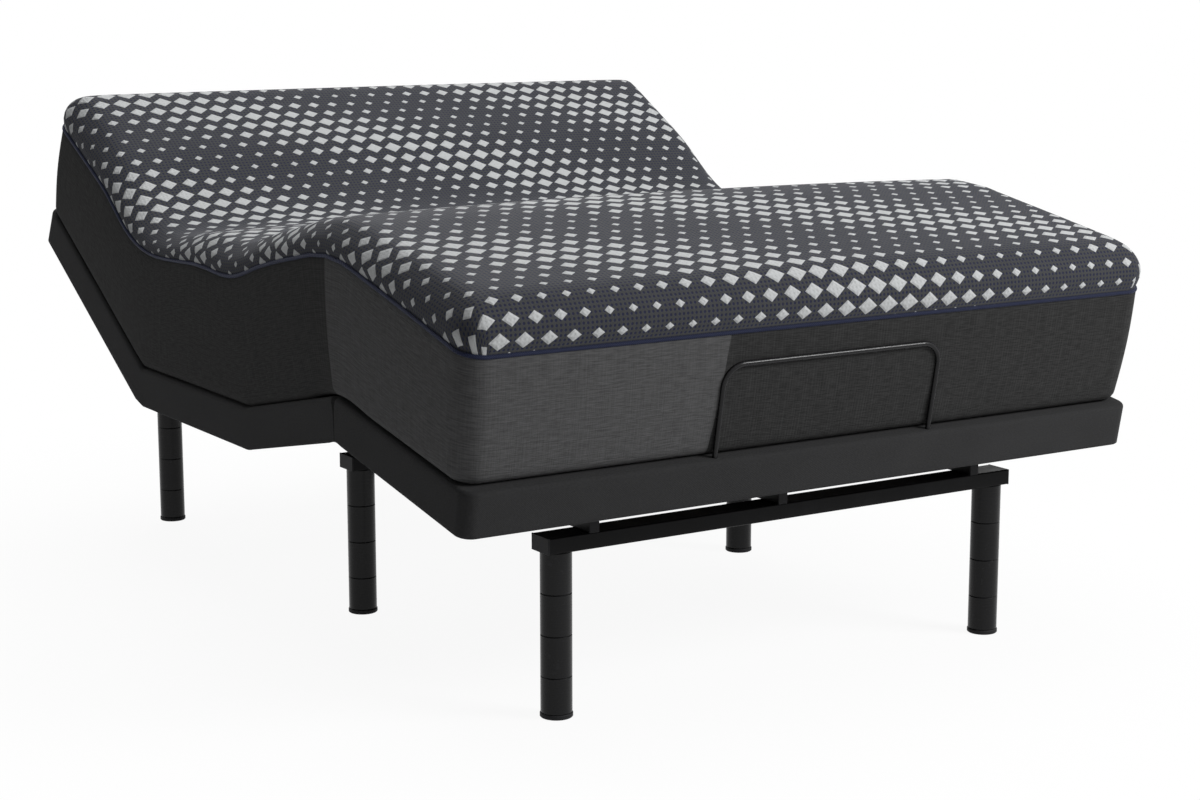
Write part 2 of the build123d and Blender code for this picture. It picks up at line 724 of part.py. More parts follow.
# Linear drives under the seat.
head_pivot = (head_pivot_y, head_pivot_z)
leg_pivot = (leg_pivot_y, leg_pivot_z)
nodes["head_lift_bracket"] = [head_place * piece for piece in lift_bracket(
    head_drive_x, head_lug_reach, seat_top, head_lug_depth, head_slot_angle,
    head_slot_back, head_slot_ahead, head_slot_play)]
nodes["thigh_lift_bracket"] = [thigh_place * piece for piece in lift_bracket(
    leg_drive_x, -leg_lug_reach, seat_top, leg_lug_depth, leg_slot_angle,
    leg_slot_back, leg_slot_ahead, leg_slot_play)]
head_lug = (head_lug_reach, seat_top - head_lug_depth)
leg_lug = (-leg_lug_reach, seat_top - leg_lug_depth)
head_flat = hypot(seat_front + seat_length + head_lug[0] - head_pivot_y,
                  fold_z + head_lug[1] - head_pivot_z)
leg_flat = hypot(seat_front + leg_lug[0] - leg_pivot_y, fold_z + leg_lug[1] - leg_pivot_z)
drives = {
    "head": drive(head_drive_x, head_pivot, section_point(head_place, *head_lug), head_flat, 1),
    "leg": drive(leg_drive_x, leg_pivot, section_point(thigh_place, *leg_lug), leg_flat, 1),
}
for name, pieces in drives.items():
    for piece_name, piece in zip(("housing", "tube", "rod", "rod_pin"), pieces):
        nodes[f"{name}_drive_{piece_name}"] = piece

crossbar_z = frame_top - rail_height / 2
crossbar_x = (-rail_face, rail_center_x - rail_width / 2)
nodes["motor_crossbar"] = Pos(sum(crossbar_x) / 2, leg_pivot_y, crossbar_z) * rect_tube_x(
    crossbar_x[1] - crossbar_x[0], crossbar_depth, crossbar_height, beam_wall)
crossbar_low = crossbar_z - crossbar_height / 2
leg_root = Pos(leg_pivot_y, crossbar_low - lug_thick / 2) * Rectangle(crossbar_depth, lug_thick)
beam_back = leg_line["mid"] + beam_depth / 2
beam_mid = leg_height + beam_height / 2
head_root = Pos(beam_back + lug_thick / 2, beam_mid) * Rectangle(lug_thick, beam_height)
nodes["drive_clevises"] = (drive_clevis(head_drive_x, head_pivot, head_root)
                           + drive_clevis(leg_drive_x, leg_pivot, leg_root))
pivot_half = lug_gap / 2 + lug_thick + pin_over
for x, pivot in ((head_drive_x, head_pivot), (leg_drive_x, leg_pivot)):
    pivot_pins.append(rod_x(x - pivot_half, x + pivot_half, *pivot, drive_pin))
nodes["frame_pivot_pins"] = pivot_pins

# Control box on the middle beam.
beam_top = leg_height + beam_height
box_back = leg_line["mid"] + box_depth / 2
box_right = box_left + box_width
box = slab(box_left, box_right, box_back - box_depth, box_back, beam_top, beam_top + box_height)
box = fillet(box.edges().filter_by(Axis.Z) + box.faces().sort_by(Axis.Z)[-1].edges(), box_edge)
pitch = box_width / (box_ports + 1)
for index in range(box_ports):
    port_x = box_left + pitch * (index + 1)
    port = Pos(port_x, box_back, beam_top + box_height / 2) * Box(port_width, 2 * port_rise, port_height)
    box += fillet(port.edges().filter_by(Axis.Y), port_rise)
nodes["control_box"] = box

# Retainer bar in its sockets at the foot end.
bar_low = foot_top - bar_root
bar_high = foot_top + bar_rise
bar_x = bar_spread / 2
bar_line = FilletPolyline((-bar_x, bar_y, bar_low), (-bar_x, bar_y, bar_high), (bar_x, bar_y, bar_high),
                          (bar_x, bar_y, bar_low), radius=bar_bend)
bar = sweep(Plane((-bar_x, bar_y, bar_low)) * Circle(bar_diameter / 2), path=bar_line)
nodes["retainer_bar"] = knee_place * bar
sockets = []
socket_top = foot_top - cover_thick
socket_height = socket_top - bar_low + socket_floor
for side in (-1, 1):
    sleeve = Pos(0, 0, -socket_height / 2) * Cylinder(socket_diameter / 2, socket_height)
    sleeve -= Pos(0, 0, -(socket_height - socket_floor) / 2) * Cylinder(
        bar_diameter / 2 + socket_clear, socket_height - socket_floor)
    sockets.append(knee_place * Pos(side * bar_x, bar_y, socket_top) * sleeve)
nodes["retainer_sockets"] = sockets

# Mattress, in four parts that meet in the middle of each fold.
lift = seat_top + mattress_gap
knee_lift = foot_top + mattress_gap
knee_kink = knee_lift * tan(radians(knee_half))
head_kink = lift * tan(radians(head_half))
thigh_kink = lift * tan(radians(thigh_half))
nodes["mattress_head"] = head_place * Pos(0, 0, lift) * mattress_section(
    head_kink, head_length, low_bend=(head_bend, head_half))
nodes["mattress_seat"] = seat_place * Pos(0, 0, lift) * mattress_section(
    thigh_kink, seat_length - head_kink, (thigh_bend, thigh_half), (head_bend, head_half))
nodes["mattress_thigh"] = thigh_place * Pos(0, 0, lift) * mattress_section(
    -thigh_length - knee_kink, -thigh_kink, (-knee_bend, knee_half), (thigh_bend, thigh_half))
nodes["mattress_foot"] = knee_place * Pos(0, 0, knee_lift) * mattress_section(
    mattress_foot_inset - foot_length, knee_kink, high_bend=(-knee_bend, knee_half))


def solids_of(shape):
    """All solids of a node, given as one shape or a list of shapes."""
    pieces = shape if isinstance(shape, list) else [shape]
    return [solid for piece in pieces for solid in piece.solids()]


everything = Compound(children=[solid for shape in nodes.values() for solid in solids_of(shape)])
box = everything.bounding_box()
home = Pos(-(box.min.X + box.max.X) / 2, -(box.min.Y + box.max.Y) / 2, -box.min.Z)
os.makedirs("parts", exist_ok=True)
for name, shape in nodes.items():
    export_step(home * Compound(children=solids_of(shape)), f"parts/{name}.step")

print("nodes", len(nodes), "size", box.size, "shift", home.position)
for name, spot in (("head_fold", head_place), ("thigh_fold", thigh_place), ("knee_fold", knee_place)):
    print(name, [round(value, 3) for value in (home * spot).position])
for name, spot in (("link_pivot", (0, link_pivot_y, link_pivot_z)), ("head_pivot", (0, *head_pivot)),
                   ("leg_pivot", (0, *leg_pivot)), ("head_lug", (0, *section_point(head_place, *head_lug))),
                   ("leg_lug", (0, *section_point(thigh_place, *leg_lug)))):
    print(name, [round(value, 3) for value in (home * Pos(*spot)).position])
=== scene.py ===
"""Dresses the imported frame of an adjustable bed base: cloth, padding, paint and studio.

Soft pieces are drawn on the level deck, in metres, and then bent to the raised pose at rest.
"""

import json

import bmesh
import bpy
import numpy as np
from bpy.props import FloatProperty, FloatVectorProperty, PointerProperty
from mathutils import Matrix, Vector

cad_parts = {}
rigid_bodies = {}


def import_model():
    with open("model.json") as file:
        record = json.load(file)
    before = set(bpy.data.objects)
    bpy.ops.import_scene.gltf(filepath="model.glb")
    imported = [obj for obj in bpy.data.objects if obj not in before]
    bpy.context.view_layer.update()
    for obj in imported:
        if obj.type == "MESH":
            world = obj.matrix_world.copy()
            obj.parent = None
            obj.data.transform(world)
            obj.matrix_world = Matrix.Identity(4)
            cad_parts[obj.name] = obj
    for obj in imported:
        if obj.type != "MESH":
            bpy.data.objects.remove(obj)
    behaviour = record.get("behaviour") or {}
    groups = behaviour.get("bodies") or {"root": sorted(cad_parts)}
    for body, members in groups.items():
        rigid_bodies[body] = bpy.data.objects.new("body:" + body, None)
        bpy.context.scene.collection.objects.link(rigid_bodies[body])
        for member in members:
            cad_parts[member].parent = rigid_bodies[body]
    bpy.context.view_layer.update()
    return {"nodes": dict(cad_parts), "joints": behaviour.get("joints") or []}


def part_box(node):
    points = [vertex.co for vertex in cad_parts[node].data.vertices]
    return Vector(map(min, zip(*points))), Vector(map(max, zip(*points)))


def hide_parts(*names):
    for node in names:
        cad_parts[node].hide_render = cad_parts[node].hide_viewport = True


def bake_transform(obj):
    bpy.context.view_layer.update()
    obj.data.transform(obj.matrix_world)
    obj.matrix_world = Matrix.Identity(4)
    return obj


bl_info = {
    "name": "Adjustable bed base",
    "version": (1, 0, 0),
    "blender": (4, 5, 0),
    "location": "3D View > Sidebar > Bed",
    "description": "Dresses the frame of an adjustable bed base in cloth, padding and paint",
    "category": "Object",
}

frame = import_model()
JOINTS = {joint["name"]: joint for joint in frame["joints"]}
SEAT_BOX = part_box("seat_cover")

# How far the foot section folds for each degree that the thighs rise, as in the record's coupling.
KNEE_RATIO = 1.875


def length(name, description, default):
    """A size in metres for the panel."""
    return FloatProperty(name=name, description=description, default=default, unit="LENGTH", precision=4)


def colour(name, description, default):
    """A linear colour for the panel."""
    return FloatVectorProperty(name=name, description=description, default=default, subtype="COLOR",
                               size=3, min=0.0, max=1.0)


class BedDeckSizes(bpy.types.PropertyGroup):
    """Sizes of the upholstered deck."""

    width: length("Width", "Width of the deck over its cloth", SEAT_BOX[1].x - SEAT_BOX[0].x)
    top: length("Top", "Height of the level deck's cloth above the floor", SEAT_BOX[1].z)
    skirt: length("Skirt", "Height of the cloth from the deck's top to its hem", 0.084)
    corner: length("Corner", "Plan radius of the deck's corners", 0.028)
    edge: length("Edge", "Radius of the cloth over the top edge of the boards", 0.008)
    hem: length("Hem", "Thickness of the cloth and its turned-in hem", 0.0036)
    head_length: length("Head section", "Deck length from the head fold to the head end", 0.62)
    foot_length: length("Foot section", "Deck length from the knee fold to the foot end", 0.48)
    bend: length("Bend", "Half the length over which the cloth turns at a fold", 0.024)


class BedMattressSizes(bpy.types.PropertyGroup):
    """Sizes of the mattress."""

    flare: length("Flare", "How far the seam stands out over the deck's sides and head end", 0.010)
    foot_inset: length("Foot inset", "How far the mattress lies inside the foot end, behind the bar", 0.020)
    corner: length("Corner", "Plan radius of the mattress's corners", 0.048)
    border: length("Border", "Height of the border up to the piped seam at the ends", 0.229)
    rise: length("Rise", "Rise of the rounded shoulder above the seam", 0.094)
    shoulder: length("Shoulder", "Width of the rounded shoulder", 0.062)
    swell: length("Swell", "How far the shoulder swells out over the seam", 0.009)
    crown: length("Crown", "Further rise of the top towards its middle", 0.012)
    bulge: length("Bulge", "How far the border swells between its edges", 0.004)
    heel: length("Heel", "Radius of the lower edge", 0.02)
    nip: length("Nip", "How far the seam pulls in", 0.005)
    piping: length("Piping", "Radius of the piping cord", 0.0038)
    seam_lift: length("Seam lift", "How much higher the seam runs at mid length than at the ends", 0.040)
    fold_lift: length("Fold lift", "Further rise of the seam by the head fold", 0.009)
    seat_dip: length("Seat dip", "How far the seam dips over the seat", 0.011)
    head_bend: length("Head bend", "Half the length over which the padding bends at the head fold", 0.27)
    thigh_bend: length("Thigh bend", "Half the length over which it bends at the thigh fold", 0.135)
    knee_bend: length("Knee bend", "Half the length over which it bends at the knee", 0.14)


class BedColours(bpy.types.PropertyGroup):
    """Colours of the cloth and the finishes."""

    skirt: colour("Skirt", "Twill over the deck", (0.0265, 0.0265, 0.0272))
    border: colour("Border", "Slubbed cloth round the mattress", (0.026, 0.026, 0.026))
    panel: colour("Foot panel", "Lighter heather cloth at the foot corner", (0.066, 0.066, 0.067))
    knit: colour("Knit", "Ground of the mattress top", (0.045, 0.046, 0.048))
    dots: colour("Dots", "Small dots in the ground", (0.010, 0.013, 0.040))
    lozenge: colour("Lozenges", "Light lozenges in the top", (0.47, 0.48, 0.485))
    piping: colour("Piping", "Cord in the mattress seam", (0.008, 0.011, 0.030))
    paint: colour("Frame paint", "Powder coat of beams and rails", (0.0045, 0.0045, 0.0048))
    leg: colour("Leg", "Moulded legs", (0.0080, 0.0080, 0.0085))
    plastic: colour("Plastic", "Caps, pads and control box", (0.014, 0.014, 0.015))
    bar: colour("Bar", "Retainer bar", (0.0060, 0.0060, 0.0065))
    zinc: colour("Zinc", "Plated steel of hinges, links and brackets", (0.45, 0.46, 0.48))
    alloy: colour("Alloy", "Cast housings of the drives", (0.50, 0.51, 0.52))
    board: colour("Board", "Stained plywood of the deck", (0.030, 0.024, 0.020))
    floor: colour("Floor", "Studio floor", (0.86, 0.86, 0.86))


def deck_sizes():
    """The deck's sizes, as set in the panel."""
    return bpy.context.scene.bed_deck


def mattress_sizes():
    """The mattress's sizes, as set in the panel."""
    return bpy.context.scene.bed_mattress


def colours():
    """The colours, as set in the panel."""
    return bpy.context.scene.bed_colours


# Bending over the folds


def turned(points, axis, angle):
    """Points turned about a line along X through axis, given as (y, z), by one angle or one each."""
    y = points[..., 1] - axis[0]
    z = points[..., 2] - axis[1]
    out = points.copy()
    out[..., 1] = axis[0] + y * np.cos(angle) - z * np.sin(angle)
    out[..., 2] = axis[1] + y * np.sin(angle) + z * np.cos(angle)
    return out


def eased(share):
    """Smooth step from 0 to 1, the way a blended piece turns from one body to the other."""
    share = np.clip(share, 0, 1)
    return share * share * (3 - 2 * share)


class Fold:
    """A hinge line of the deck, and how a soft piece bends over it from the level deck to rest."""

    def __init__(self, joint, turn, side, carried=None):
        self.bodies = (joint["parent"], joint["child"])
        self.rest_axis = np.array(joint["pos_m"][1:], float)
        self.turn = turn
        self.carried = carried
        lean = turn / 2
        self.axis = self.rest_axis
        if carried:
            spot = np.array([[0.0, *self.rest_axis]])
            self.axis = turned(spot, carried.axis, -carried.turn)[0, 1:]
            lean += carried.turn
        self.run = side * np.array([np.cos(lean), np.sin(lean)])

    def place(self, points, share):
        """Level points turned by a share of the fold, and carried by the fold before it."""
        out = turned(points, self.axis, self.turn * share)
        return turned(out, self.carried.axis, self.carried.turn) if self.carried else out

    def settle(self, points, half):
        """Level points moved to rest, by the share that a blend of that half length gives them there."""
        low = np.zeros(points.shape[:-1])
        high = np.ones(points.shape[:-1])
        for _ in range(40):
            middle = (low + high) / 2
            reach = (self.place(points, middle)[..., 1:] - self.rest_axis) @ self.run
            more = eased((reach + half) / (2 * half)) > middle
            low = np.where(more, middle, low)
            high = np.where(more, high, middle)
        return self.place(points, (low + high) / 2)

    def bend(self, piece, half):
        """Bakes a finished piece's transform into its mesh."""
        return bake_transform(piece)


def rest_turn(name):
    """Angle about X by which a joint has turned at rest from the level deck."""
    joint = JOINTS[name]
    return np.radians(-joint["range_deg"][0] * joint["axis"][0])


HEAD_FOLD = Fold(JOINTS["head_tilt"], rest_turn("head_tilt"), 1)
THIGH_FOLD = Fold(JOINTS["thigh_tilt"], rest_turn("thigh_tilt"), -1)
KNEE_FOLD = Fold(JOINTS["foot_fold"], -KNEE_RATIO * rest_turn("thigh_tilt"), -1, THIGH_FOLD)

# Where the soft pieces are cut, on the level deck: in the seat, and in the thigh section.
COVER_CUTS = (0.165, -0.303)
MATTRESS_CUTS = (0.067, -0.368)

# Mesh steps along the cloth, finer over its folds, and along the mattress, and columns across each top.
COVER_STEP = 0.045
COVER_FINE_STEP = 0.004
MATTRESS_STEP = 0.022
COVER_COLUMNS = 34
MATTRESS_COLUMNS = 54

# Reach of the fine steps on each side of a fold, as a share of the bend.
FINE_REACH = 1.4

# Air under the mattress, the height over which its underside is eased off a fold, the length over which
# its head end leans, and the length over which its crown rises from an end.
MATTRESS_GAP = 0.0005
EASE_HEIGHT = 0.12
LEAN_RUN = 0.3
CROWN_RUN = 0.45

# Fullness of the mattress's shoulder: 2 makes it an ellipse, more fills it out. It swells over the seam up
# to a share of its rise, and the distances to a side and an end are joined with a power at the corners.
SHOULDER_POWER = 2.5
SWELL_SHARE = 0.8
CORNER_POWER = 3

# Level places near the foot and the head between which the seam runs higher, and the middle and reach of
# its rise by the head fold and of its dip over the seat.
SEAM_ENDS = (-0.955, 1.03)
SEAM_RISE = (0.36, 0.26)
SEAM_DIP = (-0.05, 0.36)

# Lozenges and dots of the mattress top, in metres.
LOZENGE_PITCH = (0.048, 0.038)
LOZENGE_BAND = 0.40
DOT_PITCH = 0.0088

# Edges of the foot panel along the border, in metres, and the slope of the far one.
PANEL_START = 0.0
PANEL_END = 0.963
PANEL_LEAN = 0.12

# Start of the map along walls that carry neither the foot panel nor the seam at the knee.
OFF_PANEL = 10.0

# A distance in metres that no piece reaches.
FAR = 10.0

# Pitch of the threads in the cloth, in metres.
TWILL_PITCH = (0.0030, 0.0018)
BORDER_LINE_PITCH = 0.0034
BORDER_RIB_PITCH = 0.0064
STITCH_PITCH = (0.0021, 0.0016)
CORD_PITCH = 0.0042

# The photograph's view: lens and sensor in millimetres, turn and tilt in degrees, and the camera's place.
LENS = 69.78
SENSOR = 36.0
TURN = 32.56
TILT = 10.5
EYE = (-2.583, -4.2617, 1.313)


# Soft meshes


class Skin:
    """Collects the vertices, faces and maps of a soft piece."""

    def __init__(self):
        self.points = []
        self.faces = []
        self.maps = []
        self.slots = []
        self.flat = []

    def add(self, points):
        """Adds a grid of points and returns their indices in the same shape."""
        start = len(self.points)
        flat = np.asarray(points, float).reshape(-1, 3)
        self.points.extend(flat)
        return np.arange(start, start + len(flat)).reshape(np.shape(points)[:-1])

    def sheet(self, index, maps, slot=0):
        """Adds the quads of a grid, with a map position for each of its points."""
        for row in range(index.shape[0] - 1):
            for col in range(index.shape[1] - 1):
                spots = ((row, col), (row, col + 1), (row + 1, col + 1), (row + 1, col))
                self.faces.append([int(index[spot]) for spot in spots])
                self.maps.append([maps[spot] for spot in spots])
                self.slots.append(slot)
                self.flat.append(False)

    def cap(self, loop, slot=0):
        """Closes a cut with one flat face."""
        self.faces.append([int(spot) for spot in loop])
        self.maps.append([(0.0, 0.0)] * len(loop))
        self.slots.append(slot)
        self.flat.append(True)

    def make(self, name, finishes, fold, half):
        """Makes the object, bent to rest over a fold."""
        mesh = bpy.data.meshes.new(name)
        mesh.from_pydata(fold.settle(np.array(self.points), half).tolist(), [], self.faces)
        layer = mesh.uv_layers.new(name="cloth")
        layer.data.foreach_set("uv", np.concatenate([np.ravel(spots) for spots in self.maps]))
        for finish in finishes:
            mesh.materials.append(finish)
        mesh.polygons.foreach_set("material_index", self.slots)
        mesh.polygons.foreach_set("use_smooth", [not flat for flat in self.flat])
        shape = bmesh.new()
        shape.from_mesh(mesh)
        bmesh.ops.recalc_face_normals(shape, faces=shape.faces)
        for edge in shape.edges:
            edge.smooth = all(face.smooth for face in edge.link_faces)
        if any(not edge.is_manifold for edge in shape.edges):
            raise RuntimeError(f"{name}: the skin isn't closed")
        shape.to_mesh(mesh)
        shape.free()
        piece = bpy.data.objects.new(name, mesh)
        bpy.context.scene.collection.objects.link(piece)
        return fold.bend(piece, half)


def steps(start, stop, size):
    """Even steps from start to stop, each at most about the given size."""
    return np.linspace(start, stop, max(2, int(np.ceil(abs(stop - start) / size)) + 1))


class Plan:
    """Rows across a soft piece on the level deck, from a cut to another cut or to a rounded end."""

    def __init__(self, along, half, radius, side, rounded, across):
        leans = np.zeros(len(along))
        if rounded:
            arc = np.radians(np.linspace(0, 90, 15))[1:]
            along = np.concatenate([along, along[-1] + side * radius * np.sin(arc)])
            leans = np.concatenate([leans, arc])
        self.along = np.asarray(along, float)
        self.widths = half - radius + radius * np.cos(leans) if rounded else np.full(len(along), half)
        self.rounded = rounded
        self.side = side
        self.outward = np.stack([np.cos(leans), side * np.sin(leans)], 1)
        edges = np.array(across[0])
        inner = np.linspace(-1, 1, across[1])[1:-1]
        rows = [np.concatenate([edges - width, inner * (width - edges[-1]), (width - edges)[::-1]])
                for width in self.widths]
        self.across = np.array(rows)

    def grid(self, heights):
        """Points of the plan at the given heights."""
        along = np.repeat(self.along[:, None], self.across.shape[1], 1)
        return np.stack([self.across, along, np.broadcast_to(heights, along.shape)], -1)

    def rims(self):
        """Edges that carry a wall: (row, column) and the outward direction of each of their points."""
        last_row = len(self.along) - 1
        last_col = self.across.shape[1] - 1
        left = [((row, 0), self.outward[row] * (-1, 1)) for row in range(last_row + 1)]
        right = [((row, last_col), self.outward[row]) for row in range(last_row + 1)]
        if not self.rounded:
            return [left, right]
        end = [((last_row, col), np.array([0.0, self.side])) for col in range(1, last_col)]
        return [left + end + right[::-1]]


def run_length(points):
    """Length along a line of points, from its first."""
    return np.concatenate([[0], np.cumsum(np.linalg.norm(np.diff(points, axis=0), axis=1))])


def wrapped(plan, under_plan, top_grid, top_run, under_height, wall, map_start, slots):
    """Closed skin: a top, walls that follow a profile of (outward, down) steps, and an underside."""
    skin = Skin()
    top_index = skin.add(top_grid)
    middle = top_grid.shape[1] // 2
    over = np.concatenate([0 * top_grid[:, :1, 0], np.linalg.norm(np.diff(top_grid, axis=1), axis=2)], 1)
    over = np.cumsum(over, 1)
    over -= over[:, middle:middle + 1]
    skin.sheet(top_index, np.stack([over, top_run[:, None] + 0 * over], -1), slots[0])
    under_grid = under_plan.grid(under_height)
    under_index = skin.add(under_grid)
    columns = {}
    for rim in plan.rims():
        spots = [spot for spot, _ in rim]
        base = np.array([top_grid[spot] for spot in spots])
        outward = np.array([[*direction, 0.0] for _, direction in rim])
        rows = [np.array([top_index[spot] for spot in spots])]
        for out, down in wall:
            rows.append(skin.add(base + out * outward - np.array([0, 0, down])))
        rows.append(np.array([under_index[spot] for spot in spots]))
        rows = np.array(rows)
        run = map_start + run_length(base)
        drop = run_length(np.array([(0.0, 0.0), *wall, wall[-1]]))
        skin.sheet(rows, np.stack(np.meshgrid(run, -drop), -1), slots[1])
        for place, spot in enumerate(spots):
            columns[spot] = rows[:, place]
    skin.sheet(under_index, under_grid[..., :2], slots[1])
    last_col = plan.across.shape[1] - 1
    for row in (0,) if plan.rounded else (0, len(plan.along) - 1):
        skin.cap([*top_index[row], *columns[row, last_col][1:-1], *under_index[row][::-1],
                  *columns[row, 0][1:-1][::-1]], slots[1])
    return skin


# Finishes

# Inputs of the shader that a finish may fix.
FIXED_INPUTS = {"base": "Base Color", "rough": "Roughness", "metal": "Metallic",
                "shine": "Specular IOR Level", "sheen": "Sheen Weight", "sheen_rough": "Sheen Roughness"}


def finish(name, **values):
    """A new material, with its node tree and its shader, some of whose inputs have a fixed value."""
    material = bpy.data.materials.new(name)
    material.use_nodes = True
    shader = material.node_tree.nodes["Principled BSDF"]
    for key, value in values.items():
        shader.inputs[FIXED_INPUTS[key]].default_value = value
    return material, material.node_tree, shader


def put(tree, kind, inputs=None, **settings):
    """Adds a node, with values or links for its inputs."""
    node = tree.nodes.new(kind)
    for key, value in settings.items():
        setattr(node, key, value)
    for key, value in (inputs or {}).items():
        if isinstance(value, bpy.types.NodeSocket):
            tree.links.new(value, node.inputs[key])
        else:
            node.inputs[key].default_value = value
    return node


def calc(tree, operation, *values):
    """Result of a Math node."""
    return put(tree, "ShaderNodeMath", dict(enumerate(values)), operation=operation).outputs[0]


def spread(tree, value, low, high, new_low=0.0, new_high=1.0):
    """A value taken smoothly from one range to another."""
    inputs = {"Value": value, "From Min": low, "From Max": high, "To Min": new_low, "To Max": new_high}
    node = put(tree, "ShaderNodeMapRange", inputs, interpolation_type="SMOOTHSTEP")
    return node.outputs["Result"]


def tint(tree, share, first, second):
    """Colour between two, by a share."""
    pair = [value if isinstance(value, bpy.types.NodeSocket) else (*value, 1.0) for value in (first, second)]
    return put(tree, "ShaderNodeMix", {0: share, 6: pair[0], 7: pair[1]}, data_type="RGBA").outputs[2]


def shade(rgb, factor):
    """A lighter or darker tone of a colour."""
    return tuple(min(1.0, channel * factor) for channel in rgb)


def scaled(tree, vector, factors):
    """A coordinate stretched by a factor for each direction."""
    return put(tree, "ShaderNodeVectorMath", {0: vector, 1: factors}, operation="MULTIPLY").outputs[0]


def grain(tree, vector, scale, detail=3.0, roughness=0.55):
    """Noise at a scale, in cycles a metre."""
    inputs = {"Vector": vector, "Scale": scale, "Detail": detail, "Roughness": roughness}
    return put(tree, "ShaderNodeTexNoise", inputs).outputs[0]


def wave(tree, value, pitch):
    """Rounded ridges of a pitch in metres, from 0 to 1."""
    turn = calc(tree, "MULTIPLY", value, 2 * np.pi / pitch)
    return calc(tree, "MULTIPLY_ADD", calc(tree, "SINE", turn), 0.5, 0.5)


def relief(tree, shader, height, depth, strength=1.0):
    """Surface relief of a depth in metres."""
    bump = put(tree, "ShaderNodeBump", {"Strength": strength, "Distance": depth, "Height": height})
    tree.links.new(bump.outputs[0], shader.inputs["Normal"])


def cloth_map(tree):
    """Map position on a soft piece, and its two parts in metres."""
    vector = put(tree, "ShaderNodeUVMap", uv_map="cloth").outputs[0]
    parts = put(tree, "ShaderNodeSeparateXYZ", {0: vector})
    return vector, parts.outputs[0], parts.outputs[1]


def solid_map(tree):
    """Position on a solid, in metres."""
    return put(tree, "ShaderNodeTexCoord").outputs["Object"]


def link(tree, socket, shader, name):
    """Feeds one of the shader's inputs."""
    tree.links.new(socket, shader.inputs[name])


def knee_seam():
    """Length along the skirt from the middle of the foot end to the seam at the knee."""
    sizes = deck_sizes()
    bend = sizes.corner - sizes.edge
    return sizes.foot_length - sizes.corner + bend * np.pi / 2 + sizes.width / 2 - sizes.corner


def skirt_twill():
    """Dark twill of the deck: fine diagonal ribs, flecked yarn, a soft sheen, and a seam groove at each knee
    with painted shade along it.
    """
    material, tree, shader = finish("skirt_twill", shine=0.05, sheen=0.03, sheen_rough=0.45)
    base = tuple(colours().skirt)
    vector, run, drop = cloth_map(tree)
    ribs = wave(tree, calc(tree, "ADD", run, drop), TWILL_PITCH[0])
    crossing = wave(tree, calc(tree, "SUBTRACT", run, drop), TWILL_PITCH[1])
    yarn = calc(tree, "MULTIPLY_ADD", crossing, 0.35, calc(tree, "MULTIPLY", ribs, 0.65))
    fleck = grain(tree, scaled(tree, vector, (260, 420, 1)), 1.0, 2.0)
    cloud = grain(tree, vector, 7.0, 3.0)
    tone = calc(tree, "MULTIPLY_ADD", fleck, 0.55, calc(tree, "MULTIPLY", yarn, 0.25))
    tone = calc(tree, "MULTIPLY_ADD", cloud, 0.25, tone)
    off_seam = calc(tree, "ABSOLUTE", calc(tree, "SUBTRACT", calc(tree, "ABSOLUTE", run), knee_seam()))
    # The seam at each knee is a groove in relief, and its near-black line is painted shade that stands in for
    # the shadow in that groove.
    seam = spread(tree, off_seam, 0.0017, 0.0007)
    woven = tint(tree, tone, shade(base, 0.45), shade(base, 1.6))
    link(tree, tint(tree, seam, woven, shade(base, 0.08)), shader, "Base Color")
    link(tree, spread(tree, fleck, 0.2, 0.8, 0.95, 0.78), shader, "Roughness")
    height = calc(tree, "MULTIPLY_ADD", fleck, 0.5, yarn)
    relief(tree, shader, calc(tree, "MULTIPLY_ADD", seam, -3.0, height), 0.0004, 0.7)
    return material


def border_cloth():
    """Slubbed cloth of the mattress border, with a lighter heather panel round the foot corner."""
    material, tree, shader = finish("border_cloth", rough=0.86, shine=0.05, sheen=0.03, sheen_rough=0.5)
    shades = colours()
    dark, light = tuple(shades.border), tuple(shades.panel)
    vector, run, drop = cloth_map(tree)
    slub = spread(tree, grain(tree, scaled(tree, vector, (38, 310, 1)), 1.0, 3.0, 0.65), 0.3, 0.7)
    warp = spread(tree, grain(tree, scaled(tree, vector, (420, 14, 1)), 1.0, 2.0), 0.3, 0.7)
    heather = spread(tree, grain(tree, scaled(tree, vector, (32, 340, 1)), 1.0, 3.0, 0.7), 0.3, 0.7)
    lines = wave(tree, drop, BORDER_LINE_PITCH)
    ribs = calc(tree, "MULTIPLY", warp, wave(tree, run, BORDER_RIB_PITCH))
    plain_tone = calc(tree, "MULTIPLY_ADD", slub, 0.5, calc(tree, "MULTIPLY", lines, 0.2))
    plain_tone = calc(tree, "MULTIPLY_ADD", ribs, 0.4, plain_tone)
    plain = tint(tree, plain_tone, shade(dark, 0.5), shade(dark, 1.5))
    mixed_tone = calc(tree, "MULTIPLY_ADD", heather, 0.75, calc(tree, "MULTIPLY", warp, 0.25))
    mixed = tint(tree, mixed_tone, shade(light, 0.7), shade(light, 1.3))
    edge = calc(tree, "MULTIPLY_ADD", drop, PANEL_LEAN, PANEL_END)
    started = spread(tree, run, PANEL_START - 0.0015, PANEL_START + 0.0015)
    ended = spread(tree, calc(tree, "SUBTRACT", run, edge), -0.001, 0.001)
    panel = calc(tree, "MULTIPLY", started, calc(tree, "SUBTRACT", 1.0, ended))
    link(tree, tint(tree, panel, plain, mixed), shader, "Base Color")
    thread = calc(tree, "MULTIPLY_ADD", slub, 0.7, calc(tree, "MULTIPLY", lines, 0.3))
    relief(tree, shader, calc(tree, "MULTIPLY_ADD", warp, 0.3, thread), 0.0006, 0.8)
    return material


